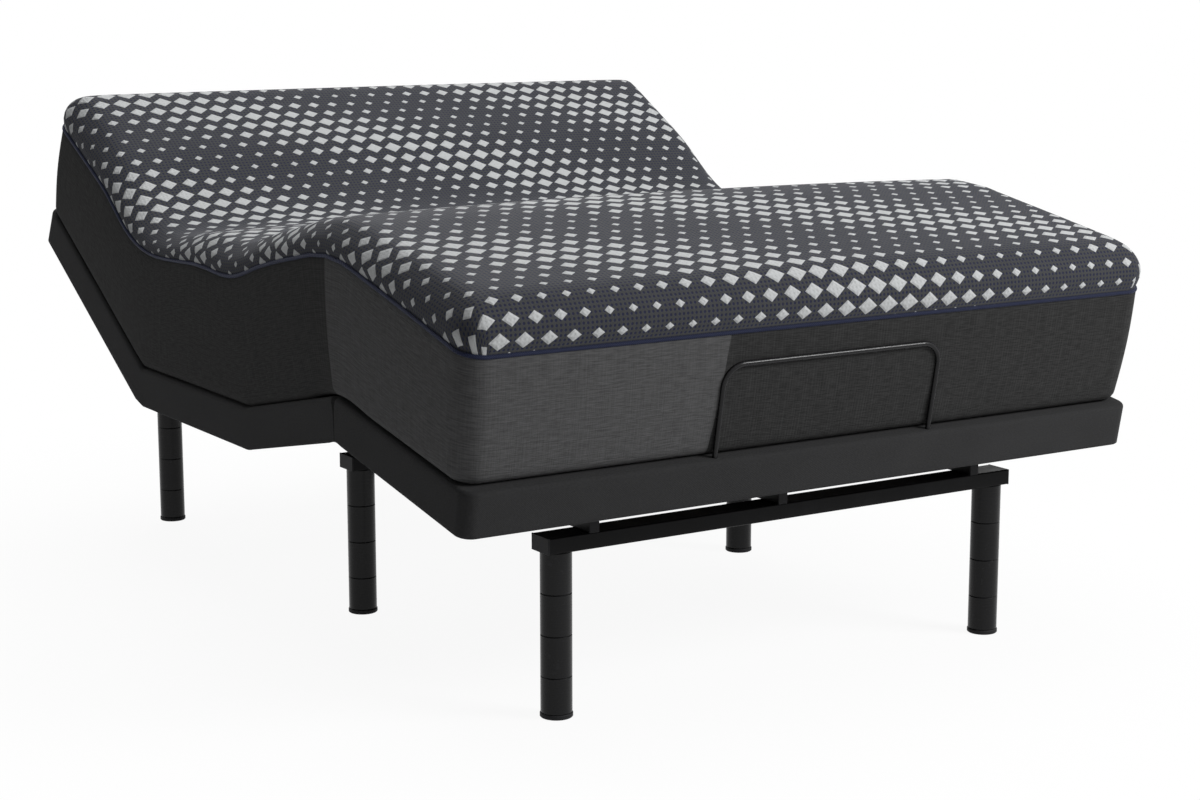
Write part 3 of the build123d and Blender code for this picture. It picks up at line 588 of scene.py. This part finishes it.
def lozenge_knit():
    """Knit of the mattress top: slate ground with small dots, and raised light lozenges in straight rows."""
    material, tree, shader = finish("lozenge_knit", rough=0.82, shine=0.08, sheen=0.05, sheen_rough=0.5)
    shades = colours()
    ground, dot, light = tuple(shades.knit), tuple(shades.dots), tuple(shades.lozenge)
    vector, across, along = cloth_map(tree)
    row = calc(tree, "DIVIDE", along, LOZENGE_PITCH[1])
    shift = calc(tree, "MULTIPLY", calc(tree, "FLOORED_MODULO", calc(tree, "FLOOR", row), 2.0), 0.5)
    column = calc(tree, "MULTIPLY_ADD", across, 1 / LOZENGE_PITCH[0], shift)
    from_x = calc(tree, "SUBTRACT", calc(tree, "FRACT", column), 0.5)
    from_y = calc(tree, "SUBTRACT", calc(tree, "FRACT", row), 0.5)
    center_x = calc(tree, "MULTIPLY", calc(tree, "SUBTRACT", column, from_x), LOZENGE_PITCH[0])
    center_y = calc(tree, "MULTIPLY", calc(tree, "SUBTRACT", row, from_y), LOZENGE_PITCH[1])
    band = wave(tree, calc(tree, "MULTIPLY_ADD", center_x, 0.42, center_y), LOZENGE_BAND)
    size = calc(tree, "MULTIPLY_ADD", band, 0.27, 0.19)
    spot = calc(tree, "ADD", calc(tree, "ABSOLUTE", from_x), calc(tree, "ABSOLUTE", from_y))
    inside = calc(tree, "SUBTRACT", size, spot)
    lozenge = spread(tree, inside, -0.012, 0.018)
    pillow = spread(tree, inside, -0.02, 0.16)
    dot_x = calc(tree, "SUBTRACT", calc(tree, "FRACT", calc(tree, "DIVIDE", across, DOT_PITCH)), 0.5)
    dot_y = calc(tree, "SUBTRACT", calc(tree, "FRACT", calc(tree, "DIVIDE", along, DOT_PITCH)), 0.5)
    reach = calc(tree, "SQRT", calc(tree, "ADD", calc(tree, "MULTIPLY", dot_x, dot_x),
                                    calc(tree, "MULTIPLY", dot_y, dot_y)))
    dots = spread(tree, reach, 0.34, 0.24)
    stitch = calc(tree, "MULTIPLY", wave(tree, across, STITCH_PITCH[0]), wave(tree, along, STITCH_PITCH[1]))
    cloud = grain(tree, vector, 9.0, 3.0)
    fuzz = grain(tree, vector, 420.0, 2.0)
    tone = calc(tree, "MULTIPLY_ADD", fuzz, 0.5, calc(tree, "MULTIPLY", cloud, 0.3))
    tone = calc(tree, "MULTIPLY_ADD", stitch, 0.2, tone)
    knit = tint(tree, tone, shade(ground, 0.5), shade(ground, 1.5))
    knit = tint(tree, calc(tree, "MULTIPLY", dots, 0.8), knit, dot)
    pale = tint(tree, tone, shade(light, 0.72), shade(light, 1.2))
    link(tree, tint(tree, lozenge, knit, pale), shader, "Base Color")
    height = calc(tree, "MULTIPLY_ADD", stitch, 0.12, calc(tree, "MULTIPLY", pillow, 0.9))
    relief(tree, shader, calc(tree, "MULTIPLY_ADD", dots, -0.3, height), 0.0022, 0.9)
    return material


def piping_cord():
    """Twisted cord of the mattress seam."""
    material, tree, shader = finish("piping_cord", rough=0.6, shine=0.1, sheen=0.05)
    base = tuple(colours().piping)
    vector, run, around = cloth_map(tree)
    twist = wave(tree, calc(tree, "ADD", run, around), CORD_PITCH)
    fuzz = grain(tree, vector, 600.0, 2.0)
    tone = calc(tree, "MULTIPLY_ADD", fuzz, 0.4, calc(tree, "MULTIPLY", twist, 0.6))
    link(tree, tint(tree, tone, shade(base, 0.5), shade(base, 1.9)), shader, "Base Color")
    relief(tree, shader, twist, 0.0008, 0.8)
    return material


def powder_coat():
    """Satin black powder coat with a fine orange peel and a little dust."""
    material, tree, shader = finish("powder_coat", shine=0.08)
    base = tuple(colours().paint)
    vector = solid_map(tree)
    peel = grain(tree, vector, 900.0, 2.0)
    cloud = grain(tree, vector, 11.0, 4.0)
    dust = spread(tree, cloud, 0.45, 0.8)
    link(tree, tint(tree, dust, base, shade(base, 2.0)), shader, "Base Color")
    link(tree, spread(tree, cloud, 0.25, 0.75, 0.30, 0.46), shader, "Roughness")
    relief(tree, shader, peel, 0.0003, 0.25)
    return material


def leg_moulding():
    """Semi-gloss black of the legs, with faint turning marks and scuffs."""
    material, tree, shader = finish("leg_moulding", shine=0.16)
    base = tuple(colours().leg)
    vector = solid_map(tree)
    marks = grain(tree, scaled(tree, vector, (30, 30, 1400)), 1.0, 2.0)
    scuff = spread(tree, grain(tree, vector, 45.0, 5.0, 0.7), 0.58, 0.75)
    link(tree, tint(tree, scuff, base, shade(base, 2.6)), shader, "Base Color")
    link(tree, calc(tree, "MULTIPLY_ADD", scuff, 0.22, calc(tree, "MULTIPLY_ADD", marks, 0.12, 0.20)),
         shader, "Roughness")
    relief(tree, shader, marks, 0.0001, 0.25)
    return material


def matte_plastic():
    """Spark-textured moulded plastic."""
    material, tree, shader = finish("matte_plastic", shine=0.12)
    base = tuple(colours().plastic)
    vector = solid_map(tree)
    spark = grain(tree, vector, 1400.0, 3.0)
    cloud = grain(tree, vector, 20.0, 3.0)
    link(tree, tint(tree, cloud, shade(base, 0.7), shade(base, 1.5)), shader, "Base Color")
    link(tree, spread(tree, spark, 0.3, 0.7, 0.48, 0.68), shader, "Roughness")
    relief(tree, shader, spark, 0.0003, 0.35)
    return material


def gloss_bar():
    """Gloss black coat of the retainer bar."""
    material, tree, shader = finish("gloss_bar", shine=0.2)
    base = tuple(colours().bar)
    vector = solid_map(tree)
    cloud = grain(tree, vector, 60.0, 4.0)
    link(tree, tint(tree, cloud, base, shade(base, 1.8)), shader, "Base Color")
    link(tree, spread(tree, cloud, 0.3, 0.7, 0.16, 0.30), shader, "Roughness")
    relief(tree, shader, grain(tree, vector, 700.0, 2.0), 0.0002, 0.2)
    return material


def zinc_plate():
    """Plated steel with drawn lines, cloudy passivation and darker hollows."""
    material, tree, shader = finish("zinc_plate", metal=1.0)
    base = tuple(colours().zinc)
    vector = solid_map(tree)
    drawn = grain(tree, scaled(tree, vector, (12, 900, 900)), 1.0, 2.0)
    cloud = grain(tree, vector, 26.0, 5.0, 0.65)
    tone = calc(tree, "MULTIPLY_ADD", cloud, 0.6, calc(tree, "MULTIPLY", drawn, 0.4))
    link(tree, tint(tree, tone, shade(base, 0.62), shade(base, 1.25)), shader, "Base Color")
    link(tree, spread(tree, tone, 0.3, 0.7, 0.30, 0.48), shader, "Roughness")
    relief(tree, shader, drawn, 0.0001, 0.3)
    return material


def cast_alloy():
    """Bead-blasted casting of the drives."""
    material, tree, shader = finish("cast_alloy", metal=1.0)
    base = tuple(colours().alloy)
    vector = solid_map(tree)
    blast = grain(tree, vector, 1100.0, 3.0)
    cloud = grain(tree, vector, 14.0, 4.0)
    link(tree, tint(tree, cloud, shade(base, 0.7), shade(base, 1.15)), shader, "Base Color")
    link(tree, spread(tree, blast, 0.3, 0.7, 0.40, 0.58), shader, "Roughness")
    relief(tree, shader, blast, 0.0003, 0.4)
    return material


def plywood():
    """Dark stained plywood of the deck: long grain and broad figure."""
    material, tree, shader = finish("plywood")
    base = tuple(colours().board)
    vector = solid_map(tree)
    figure = grain(tree, scaled(tree, vector, (1.4, 16, 16)), 1.6, 5.0, 0.6)
    rings = calc(tree, "FRACT", calc(tree, "MULTIPLY", figure, 9.0))
    fibre = grain(tree, scaled(tree, vector, (18, 620, 620)), 1.0, 3.0)
    tone = calc(tree, "MULTIPLY_ADD", rings, 0.55, calc(tree, "MULTIPLY", fibre, 0.45))
    link(tree, tint(tree, tone, shade(base, 1.25), shade(base, 0.62)), shader, "Base Color")
    link(tree, spread(tree, fibre, 0.3, 0.7, 0.55, 0.75), shader, "Roughness")
    relief(tree, shader, fibre, 0.0004, 0.35)
    return material


# Pieces


def fold_steps(start, stop, size, fold, half, fine):
    """Steps along a piece, with finer ones over its fold."""
    side = np.sign(stop - start)
    near = fold.axis[0] - side * FINE_REACH * half
    far = fold.axis[0] + side * FINE_REACH * half
    parts = [steps(start, near, size), steps(near, far, fine), steps(far, stop, size)]
    return np.concatenate([parts[0], parts[1][1:], parts[2][1:]])


def cover_piece(name, start, stop, rounded, fold, nodes, twill):
    """Cloth over part of the deck: flat top, rounded edge, skirt and turned-in hem."""
    sizes = deck_sizes()
    half = sizes.width / 2
    side = np.sign(stop - start)
    straight = stop - side * sizes.corner if rounded else stop
    along = fold_steps(start, straight, COVER_STEP, fold, sizes.bend, COVER_FINE_STEP)
    across = ([0.0, 0.012], COVER_COLUMNS)
    plan = Plan(along, half - sizes.edge, sizes.corner - sizes.edge, side, rounded, across)
    under = Plan(along, half - sizes.hem, sizes.corner - sizes.hem, side, rounded, across)
    arc = np.radians([22.5, 45, 67.5, 90])
    wall = [(sizes.edge * np.sin(lean), sizes.edge * (1 - np.cos(lean))) for lean in arc]
    inner = sizes.edge - sizes.hem
    hem = sizes.skirt - sizes.hem / 2
    wall += [(sizes.edge, share * sizes.skirt) for share in (0.25, 0.42, 0.6, 0.78, 0.9)]
    wall += [(sizes.edge, hem), (sizes.edge - sizes.hem / 2, sizes.skirt), (inner, hem)]
    wall += [(inner, share * sizes.skirt) for share in (0.8, 0.55, 0.3, 0.12)]
    top = plan.grid(sizes.top)
    run = run_length(fold.settle(top[:, plan.across.shape[1] // 2], sizes.bend))
    rim = np.array([top[spot] for spot, _ in plan.rims()[0]])
    map_start = -run_length(rim)[-1] / 2 if fold is KNEE_FOLD else OFF_PANEL
    skin = wrapped(plan, under, top, run, sizes.top - sizes.hem, wall, map_start, (0, 0))
    piece = skin.make(name, [twill], fold, sizes.bend)
    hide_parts(*nodes)
    return piece


def lift_over(fold, half, along, height):
    """How far the underside must lie above the level deck, so that it clears the folded deck at rest."""
    lift = np.zeros(len(along))
    if fold.carried:
        return lift
    for _ in range(8):
        line = np.stack([0 * along, along, height + lift], -1)
        spot = fold.settle(line, half)[:, 1:] - fold.rest_axis
        level = height - fold.axis[1]
        clear = [spot @ np.array([-np.sin(lean), np.cos(lean)]) - level for lean in (0.0, fold.turn)]
        lift += np.maximum(0, -np.minimum(*clear))
    return lift


def crowned(plan, end, lip):
    """Points of the mattress top over a plan: a full shoulder that swells over the seam, and a slow crown."""
    sizes = mattress_sizes()
    from_side = np.maximum(plan.widths[:, None] - np.abs(plan.across), 1e-12)
    from_end = np.maximum(np.abs(end - plan.along), 1e-12)[:, None] + 0 * from_side
    if not plan.rounded:
        from_end = np.full_like(from_side, FAR)
    inside = (from_side ** -CORNER_POWER + from_end ** -CORNER_POWER) ** (-1 / CORNER_POWER)
    short = np.clip(1 - inside / sizes.shoulder, 0, 1)
    share = np.maximum(1 - short ** SHOULDER_POWER, 0) ** (1 / SHOULDER_POWER)
    across = 1 - (1 - from_side / plan.widths[:, None]) ** 2
    along = 1 - (1 - np.clip(from_end / CROWN_RUN, 0, 1)) ** 2
    points = plan.grid(lip + sizes.rise * share + sizes.crown * across * along)
    swell = sizes.swell * np.sin(np.pi * np.clip(share / SWELL_SHARE, 0, 1))
    to_side = swell * (inside / from_side) ** (CORNER_POWER + 1)
    to_end = swell * (inside / from_end) ** (CORNER_POWER + 1)
    points[..., 0] += to_side * np.sign(plan.across) * plan.outward[:, :1]
    points[..., 1] += to_side * plan.outward[:, 1:] + to_end * plan.side
    return points


def seam_lift(along):
    """How far the seam runs above its height at the ends, along the level deck."""
    sizes = mattress_sizes()
    ends = (sum(SEAM_ENDS) / 2, (SEAM_ENDS[1] - SEAM_ENDS[0]) / 2)
    arch, rise, dip = [np.clip(1 - ((along - middle) / reach) ** 2, 0, 1)
                       for middle, reach in (ends, SEAM_RISE, SEAM_DIP)]
    return sizes.seam_lift * arch + sizes.fold_lift * rise ** 2 - sizes.seat_dip * dip ** 2


def mattress_plan(start, stop, rounded, inset):
    """Plan of part of the mattress, drawn inset from its border."""
    sizes = mattress_sizes()
    half = deck_sizes().width / 2 + sizes.flare
    side = np.sign(stop - start)
    along = steps(start, stop - side * sizes.corner if rounded else stop, MATTRESS_STEP)
    share = np.array([0, 0.14, 0.27, 0.39, 0.5, 0.6, 0.69, 0.77, 0.84, 0.9, 0.95, 0.985, 1])
    edges = sizes.shoulder * (1 - (1 - share ** SHOULDER_POWER) ** (1 / SHOULDER_POWER))
    return Plan(along, half - inset, sizes.corner - inset, side, rounded, (edges, MATTRESS_COLUMNS))


def mattress_wall():
    """Profile of the border from the seam down to the heel, as (outward, down) steps."""
    sizes = mattress_sizes()
    deep = sizes.border - sizes.heel - sizes.nip
    wall = [(sizes.nip * 0.75, sizes.nip * 0.4)]
    for share in np.linspace(0, 1, 15):
        wall.append((sizes.nip + sizes.bulge * np.sin(np.pi * share), sizes.nip + share * deep))
    for lean in np.radians([18, 36, 54, 72]):
        out = sizes.nip - sizes.heel + sizes.heel * np.cos(lean)
        wall.append((out, sizes.border - sizes.heel + sizes.heel * np.sin(lean)))
    return wall


def mattress_parts():
    """Name, extent, fold, bend and replaced nodes of each part of the mattress."""
    sizes = mattress_sizes()
    deck = deck_sizes()
    head_end = HEAD_FOLD.axis[0] + deck.head_length + sizes.flare
    foot_end = KNEE_FOLD.axis[0] - deck.foot_length + sizes.foot_inset
    return [
        ("head", MATTRESS_CUTS[0], head_end, True, HEAD_FOLD, sizes.head_bend, ["mattress_head"]),
        ("seat", MATTRESS_CUTS[0], MATTRESS_CUTS[1], False, THIGH_FOLD, sizes.thigh_bend, ["mattress_seat"]),
        ("foot", MATTRESS_CUTS[1], foot_end, True, KNEE_FOLD, sizes.knee_bend,
         ["mattress_thigh", "mattress_foot"]),
    ]


def mattress_heights():
    """Heights of the mattress's underside and of its seam at the ends, on the level deck."""
    floor = deck_sizes().top + MATTRESS_GAP
    return floor, floor + mattress_sizes().border


def fitted(points, part, width):
    """Points of a part of the mattress with its walls leaning out, its seam lifted and its heel eased."""
    name, _, stop, _, fold, bend, _ = part
    sizes = mattress_sizes()
    floor, lip = mattress_heights()
    height = points[:, 2].copy()
    under_seam = (height - floor) / sizes.border
    over_seam = 1 - (height - lip) / sizes.rise
    share = np.clip(np.where(height < lip, under_seam, over_seam), 0, 1)
    lean = sizes.flare * np.clip((lip - height) / sizes.border, 0, 1)
    points[:, 0] *= 1 - lean / width
    if name == "head":
        points[:, 1] -= lean * np.clip(1 - (stop - points[:, 1]) / LEAN_RUN, 0, 1)
    points[:, 2] += share * seam_lift(points[:, 1])
    low = np.clip(1 - (points[:, 2] - floor) / EASE_HEIGHT, 0, 1)
    points[:, 2] += low * lift_over(fold, bend, points[:, 1], floor)
    return points


def mattress_piece(part, finishes, start_run):
    """One padded part of the mattress, and the length along its top at its far end."""
    name, start, stop, rounded, fold, bend, nodes = part
    sizes = mattress_sizes()
    floor, lip = mattress_heights()
    plan = mattress_plan(start, stop, rounded, sizes.nip)
    under = mattress_plan(start, stop, rounded, sizes.heel)
    top = crowned(plan, stop - plan.side * sizes.nip, lip)
    middle = fold.settle(top[:, plan.across.shape[1] // 2], bend)
    run = start_run + plan.side * run_length(middle)
    map_start = KNEE_FOLD.axis[0] - start if name == "foot" else OFF_PANEL
    skin = wrapped(plan, under, top, run, floor, mattress_wall(), map_start, (0, 1))
    skin.points = fitted(np.array(skin.points), part, plan.widths[0])
    piece = skin.make(f"mattress_{name}_padding", finishes, fold, bend)
    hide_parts(*nodes)
    return run[-1]


def piping_piece(part, cord):
    """Piping cord along the seam of one part of the mattress."""
    name, start, stop, rounded, fold, bend, _ = part
    sizes = mattress_sizes()
    plan = mattress_plan(start, stop, rounded, sizes.nip)
    grid = plan.grid(mattress_heights()[1])
    around = np.linspace(0, 2 * np.pi, 11)[:-1]
    upward = np.array([0, 0, 1.0])
    skin = Skin()
    for rim in plan.rims():
        path = np.array([grid[spot] for spot, _ in rim])
        outward = np.array([[*direction, 0.0] for _, direction in rim])
        path = path + 0.6 * sizes.nip * outward
        path[:, 2] += seam_lift(path[:, 1])
        rings = [path + sizes.piping * (np.cos(turn) * outward + np.sin(turn) * upward) for turn in around]
        index = skin.add(np.stack(rings, 1))
        maps = np.stack(np.meshgrid(run_length(path), np.append(around, 2 * np.pi) * sizes.piping,
                                    indexing="ij"), -1)
        skin.sheet(np.concatenate([index, index[:, :1]], 1), maps)
        skin.cap(index[0])
        skin.cap(index[-1])
    piece = skin.make(f"piping_{name}", [cord], fold, bend)
    return piece


def paint(nodes, material):
    """Gives CAD nodes a finish."""
    for name in nodes:
        mesh = frame["nodes"][name].data
        mesh.materials.clear()
        mesh.materials.append(material)


def lamp(name, spot, aim, size, power):
    """Soft rectangular lamp."""
    light = bpy.data.lights.new(name, "AREA")
    light.shape = "RECTANGLE"
    light.size, light.size_y = size
    light.energy = power
    item = bpy.data.objects.new(name, light)
    item.location = spot
    item.rotation_euler = (Vector(aim) - Vector(spot)).to_track_quat("-Z", "Y").to_euler()
    bpy.context.scene.collection.objects.link(item)


def seen_share(tree):
    """1 for rays that show the background itself: camera, mirror and see-through rays."""
    rays = put(tree, "ShaderNodeLightPath").outputs
    seen = calc(tree, "MAXIMUM", rays["Is Camera Ray"], rays["Is Glossy Ray"])
    return calc(tree, "MAXIMUM", seen, rays["Is Transmission Ray"])


# Operators


class BED_OT_frame(bpy.types.Operator):
    """Paints the beams, rails, crossbar, clevises and their plastic caps"""

    bl_idname = "bed.frame"
    bl_label = "Frame"

    def execute(self, context):
        steel = ["foot_beam", "mid_beam", "head_beam", "rail_left", "rail_center", "rail_right",
                 "motor_crossbar", "drive_clevises"]
        paint(steel, powder_coat())
        paint(["tube_end_caps", "leg_pads", "control_box", "retainer_sockets"], matte_plastic())
        return {"FINISHED"}


class BED_OT_legs(bpy.types.Operator):
    """Finishes the six screw-together legs"""

    bl_idname = "bed.legs"
    bl_label = "Legs"

    def execute(self, context):
        places = [f"leg_{end}_{side}" for end in ("foot", "mid", "head") for side in ("left", "right")]
        paint(places, leg_moulding())
        return {"FINISHED"}


class BED_OT_mechanism(bpy.types.Operator):
    """Finishes the drives, brackets, links, pins and hinges"""

    bl_idname = "bed.mechanism"
    bl_label = "Mechanism"

    def execute(self, context):
        plated = ["head_hinge_seat_leaves", "thigh_hinge_seat_leaves", "deck_hinge_pins", "head_hinge_leaves",
                  "thigh_hinge_leaves", "knee_hinge_thigh_leaves", "knee_hinge_pins", "knee_hinge_leaves",
                  "foot_links", "foot_link_pins", "frame_pivot_pins", "leg_bushes"]
        for drive in ("head_drive", "leg_drive"):
            plated += [f"{drive}_rod", f"{drive}_rod_pin"]
        paint(plated, zinc_plate())
        paint(["head_drive_housing", "head_drive_tube", "leg_drive_housing", "leg_drive_tube"], cast_alloy())
        paint(["head_lift_bracket", "thigh_lift_bracket", "foot_link_brackets"], powder_coat())
        return {"FINISHED"}


class BED_OT_boards(bpy.types.Operator):
    """Finishes the plywood boards of the deck"""

    bl_idname = "bed.boards"
    bl_label = "Boards"

    def execute(self, context):
        sections = ("head", "seat", "thigh", "foot")
        paint([f"{section}_{kind}" for section in sections for kind in ("board", "border")], plywood())
        return {"FINISHED"}


class BED_OT_retainer_bar(bpy.types.Operator):
    """Finishes the mattress retainer bar"""

    bl_idname = "bed.retainer_bar"
    bl_label = "Retainer bar"

    def execute(self, context):
        paint(["retainer_bar"], gloss_bar())
        return {"FINISHED"}


class BED_OT_deck_cloth(bpy.types.Operator):
    """Makes the upholstery of the deck, bent over the folds at rest"""

    bl_idname = "bed.deck_cloth"
    bl_label = "Deck cloth"

    def execute(self, context):
        sizes = deck_sizes()
        twill = skirt_twill()
        head_end = HEAD_FOLD.axis[0] + sizes.head_length
        foot_end = KNEE_FOLD.axis[0] - sizes.foot_length
        cover_piece("deck_cloth_head", COVER_CUTS[0], head_end, True, HEAD_FOLD, ["head_cover"], twill)
        cover_piece("deck_cloth_seat", COVER_CUTS[0], COVER_CUTS[1], False, THIGH_FOLD, ["seat_cover"], twill)
        cover_piece("deck_cloth_foot", COVER_CUTS[1], foot_end, True, KNEE_FOLD,
                    ["thigh_cover", "foot_cover"], twill)
        return {"FINISHED"}


class BED_OT_mattress(bpy.types.Operator):
    """Makes the padded mattress in three parts, bent over the folds at rest"""

    bl_idname = "bed.mattress"
    bl_label = "Mattress"

    def execute(self, context):
        finishes = [lozenge_knit(), border_cloth()]
        head, seat, foot = mattress_parts()
        mattress_piece(head, finishes, 0.0)
        reached = mattress_piece(seat, finishes, 0.0)
        mattress_piece(foot, finishes, reached)
        return {"FINISHED"}


class BED_OT_piping(bpy.types.Operator):
    """Makes the piping cord in the mattress seam"""

    bl_idname = "bed.piping"
    bl_label = "Piping"

    def execute(self, context):
        cord = piping_cord()
        for part in mattress_parts():
            piping_piece(part, cord)
        return {"FINISHED"}


class BED_OT_studio(bpy.types.Operator):
    """Makes the pale floor, the soft lamps, the white background and the camera"""

    bl_idname = "bed.studio"
    bl_label = "Studio"

    def execute(self, context):
        scene = context.scene
        scene.view_settings.view_transform = "Standard"
        mesh = bpy.data.meshes.new("floor")
        reach = 60.0
        mesh.from_pydata([(-reach, -reach, 0), (reach, -reach, 0), (reach, reach, 0), (-reach, reach, 0)],
                         [], [(0, 1, 2, 3)])
        floor = bpy.data.objects.new("floor", mesh)
        scene.collection.objects.link(floor)
        base = (*colours().floor, 1.0)
        material, tree, shader = finish("studio_floor", base=base, rough=0.9, shine=0.0)
        glow = put(tree, "ShaderNodeEmission", {"Color": (1, 1, 1, 1), "Strength": 1.0})
        spot = put(tree, "ShaderNodeNewGeometry").outputs["Position"]
        away = put(tree, "ShaderNodeVectorMath", {0: spot}, operation="LENGTH").outputs["Value"]
        share = calc(tree, "MULTIPLY", seen_share(tree), spread(tree, away, 0.8, 2.2, 0.93, 1.0))
        blended = put(tree, "ShaderNodeMixShader", {0: share, 1: shader.outputs[0], 2: glow.outputs[0]})
        tree.links.new(blended.outputs[0], tree.nodes["Material Output"].inputs["Surface"])
        mesh.materials.append(material)

        world = bpy.data.worlds.new("studio")
        scene.world = world
        world.use_nodes = True
        sky = world.node_tree
        back = sky.nodes["Background"]
        back.inputs["Color"].default_value = (1, 1, 1, 1)
        level = spread(sky, seen_share(sky), 0.0, 1.0, 0.11, 1.0)
        sky.links.new(level, back.inputs["Strength"])

        lamp("key", (3.2, -4.4, 3.6), (0, -0.2, 0.5), (2.6, 2.0), 345)
        lamp("top", (-0.3, 0.4, 4.2), (0, 0, 0.5), (3.2, 3.2), 98)
        lamp("back", (1.5, 4.8, 3.0), (0, 0.3, 0.5), (3.0, 2.0), 90)

        camera = bpy.data.cameras.new("photo_view")
        camera.lens = LENS
        camera.sensor_width = SENSOR
        view = bpy.data.objects.new("photo_view", camera)
        turn, tilt = np.radians(TURN), np.radians(TILT)
        look = Vector((np.sin(turn) * np.cos(tilt), np.cos(turn) * np.cos(tilt), -np.sin(tilt)))
        view.location = EYE
        view.rotation_euler = look.to_track_quat("-Z", "Y").to_euler()
        scene.collection.objects.link(view)
        scene.camera = view
        return {"FINISHED"}


OPERATORS = (BED_OT_frame, BED_OT_legs, BED_OT_mechanism, BED_OT_boards, BED_OT_retainer_bar,
             BED_OT_deck_cloth, BED_OT_mattress, BED_OT_piping, BED_OT_studio)


class BED_PT_panel(bpy.types.Panel):
    """Lists the bed's pieces, sizes and colours"""

    bl_idname = "BED_PT_panel"
    bl_label = "Adjustable bed base"
    bl_space_type = "VIEW_3D"
    bl_region_type = "UI"
    bl_category = "Bed"

    def draw(self, context):
        for operator in OPERATORS:
            self.layout.operator(operator.bl_idname)
        for group in (deck_sizes(), mattress_sizes(), colours()):
            box = self.layout.box()
            for name in group.__annotations__:
                box.prop(group, name)


CLASSES = (BedDeckSizes, BedMattressSizes, BedColours, *OPERATORS, BED_PT_panel)


def register():
    """Registers the classes and the scene's settings."""
    for item in CLASSES:
        bpy.utils.register_class(item)
    bpy.types.Scene.bed_deck = PointerProperty(type=BedDeckSizes)
    bpy.types.Scene.bed_mattress = PointerProperty(type=BedMattressSizes)
    bpy.types.Scene.bed_colours = PointerProperty(type=BedColours)


def unregister():
    """Takes the scene's settings and the classes away again."""
    del bpy.types.Scene.bed_colours
    del bpy.types.Scene.bed_mattress
    del bpy.types.Scene.bed_deck
    for item in reversed(CLASSES):
        bpy.utils.unregister_class(item)


def main():
    """Builds every piece in order."""
    register()
    bpy.ops.bed.frame()
    bpy.ops.bed.legs()
    bpy.ops.bed.mechanism()
    bpy.ops.bed.boards()
    bpy.ops.bed.retainer_bar()
    bpy.ops.bed.deck_cloth()
    bpy.ops.bed.mattress()
    bpy.ops.bed.piping()
    bpy.ops.bed.studio()


if __name__ == "__main__":
    main()
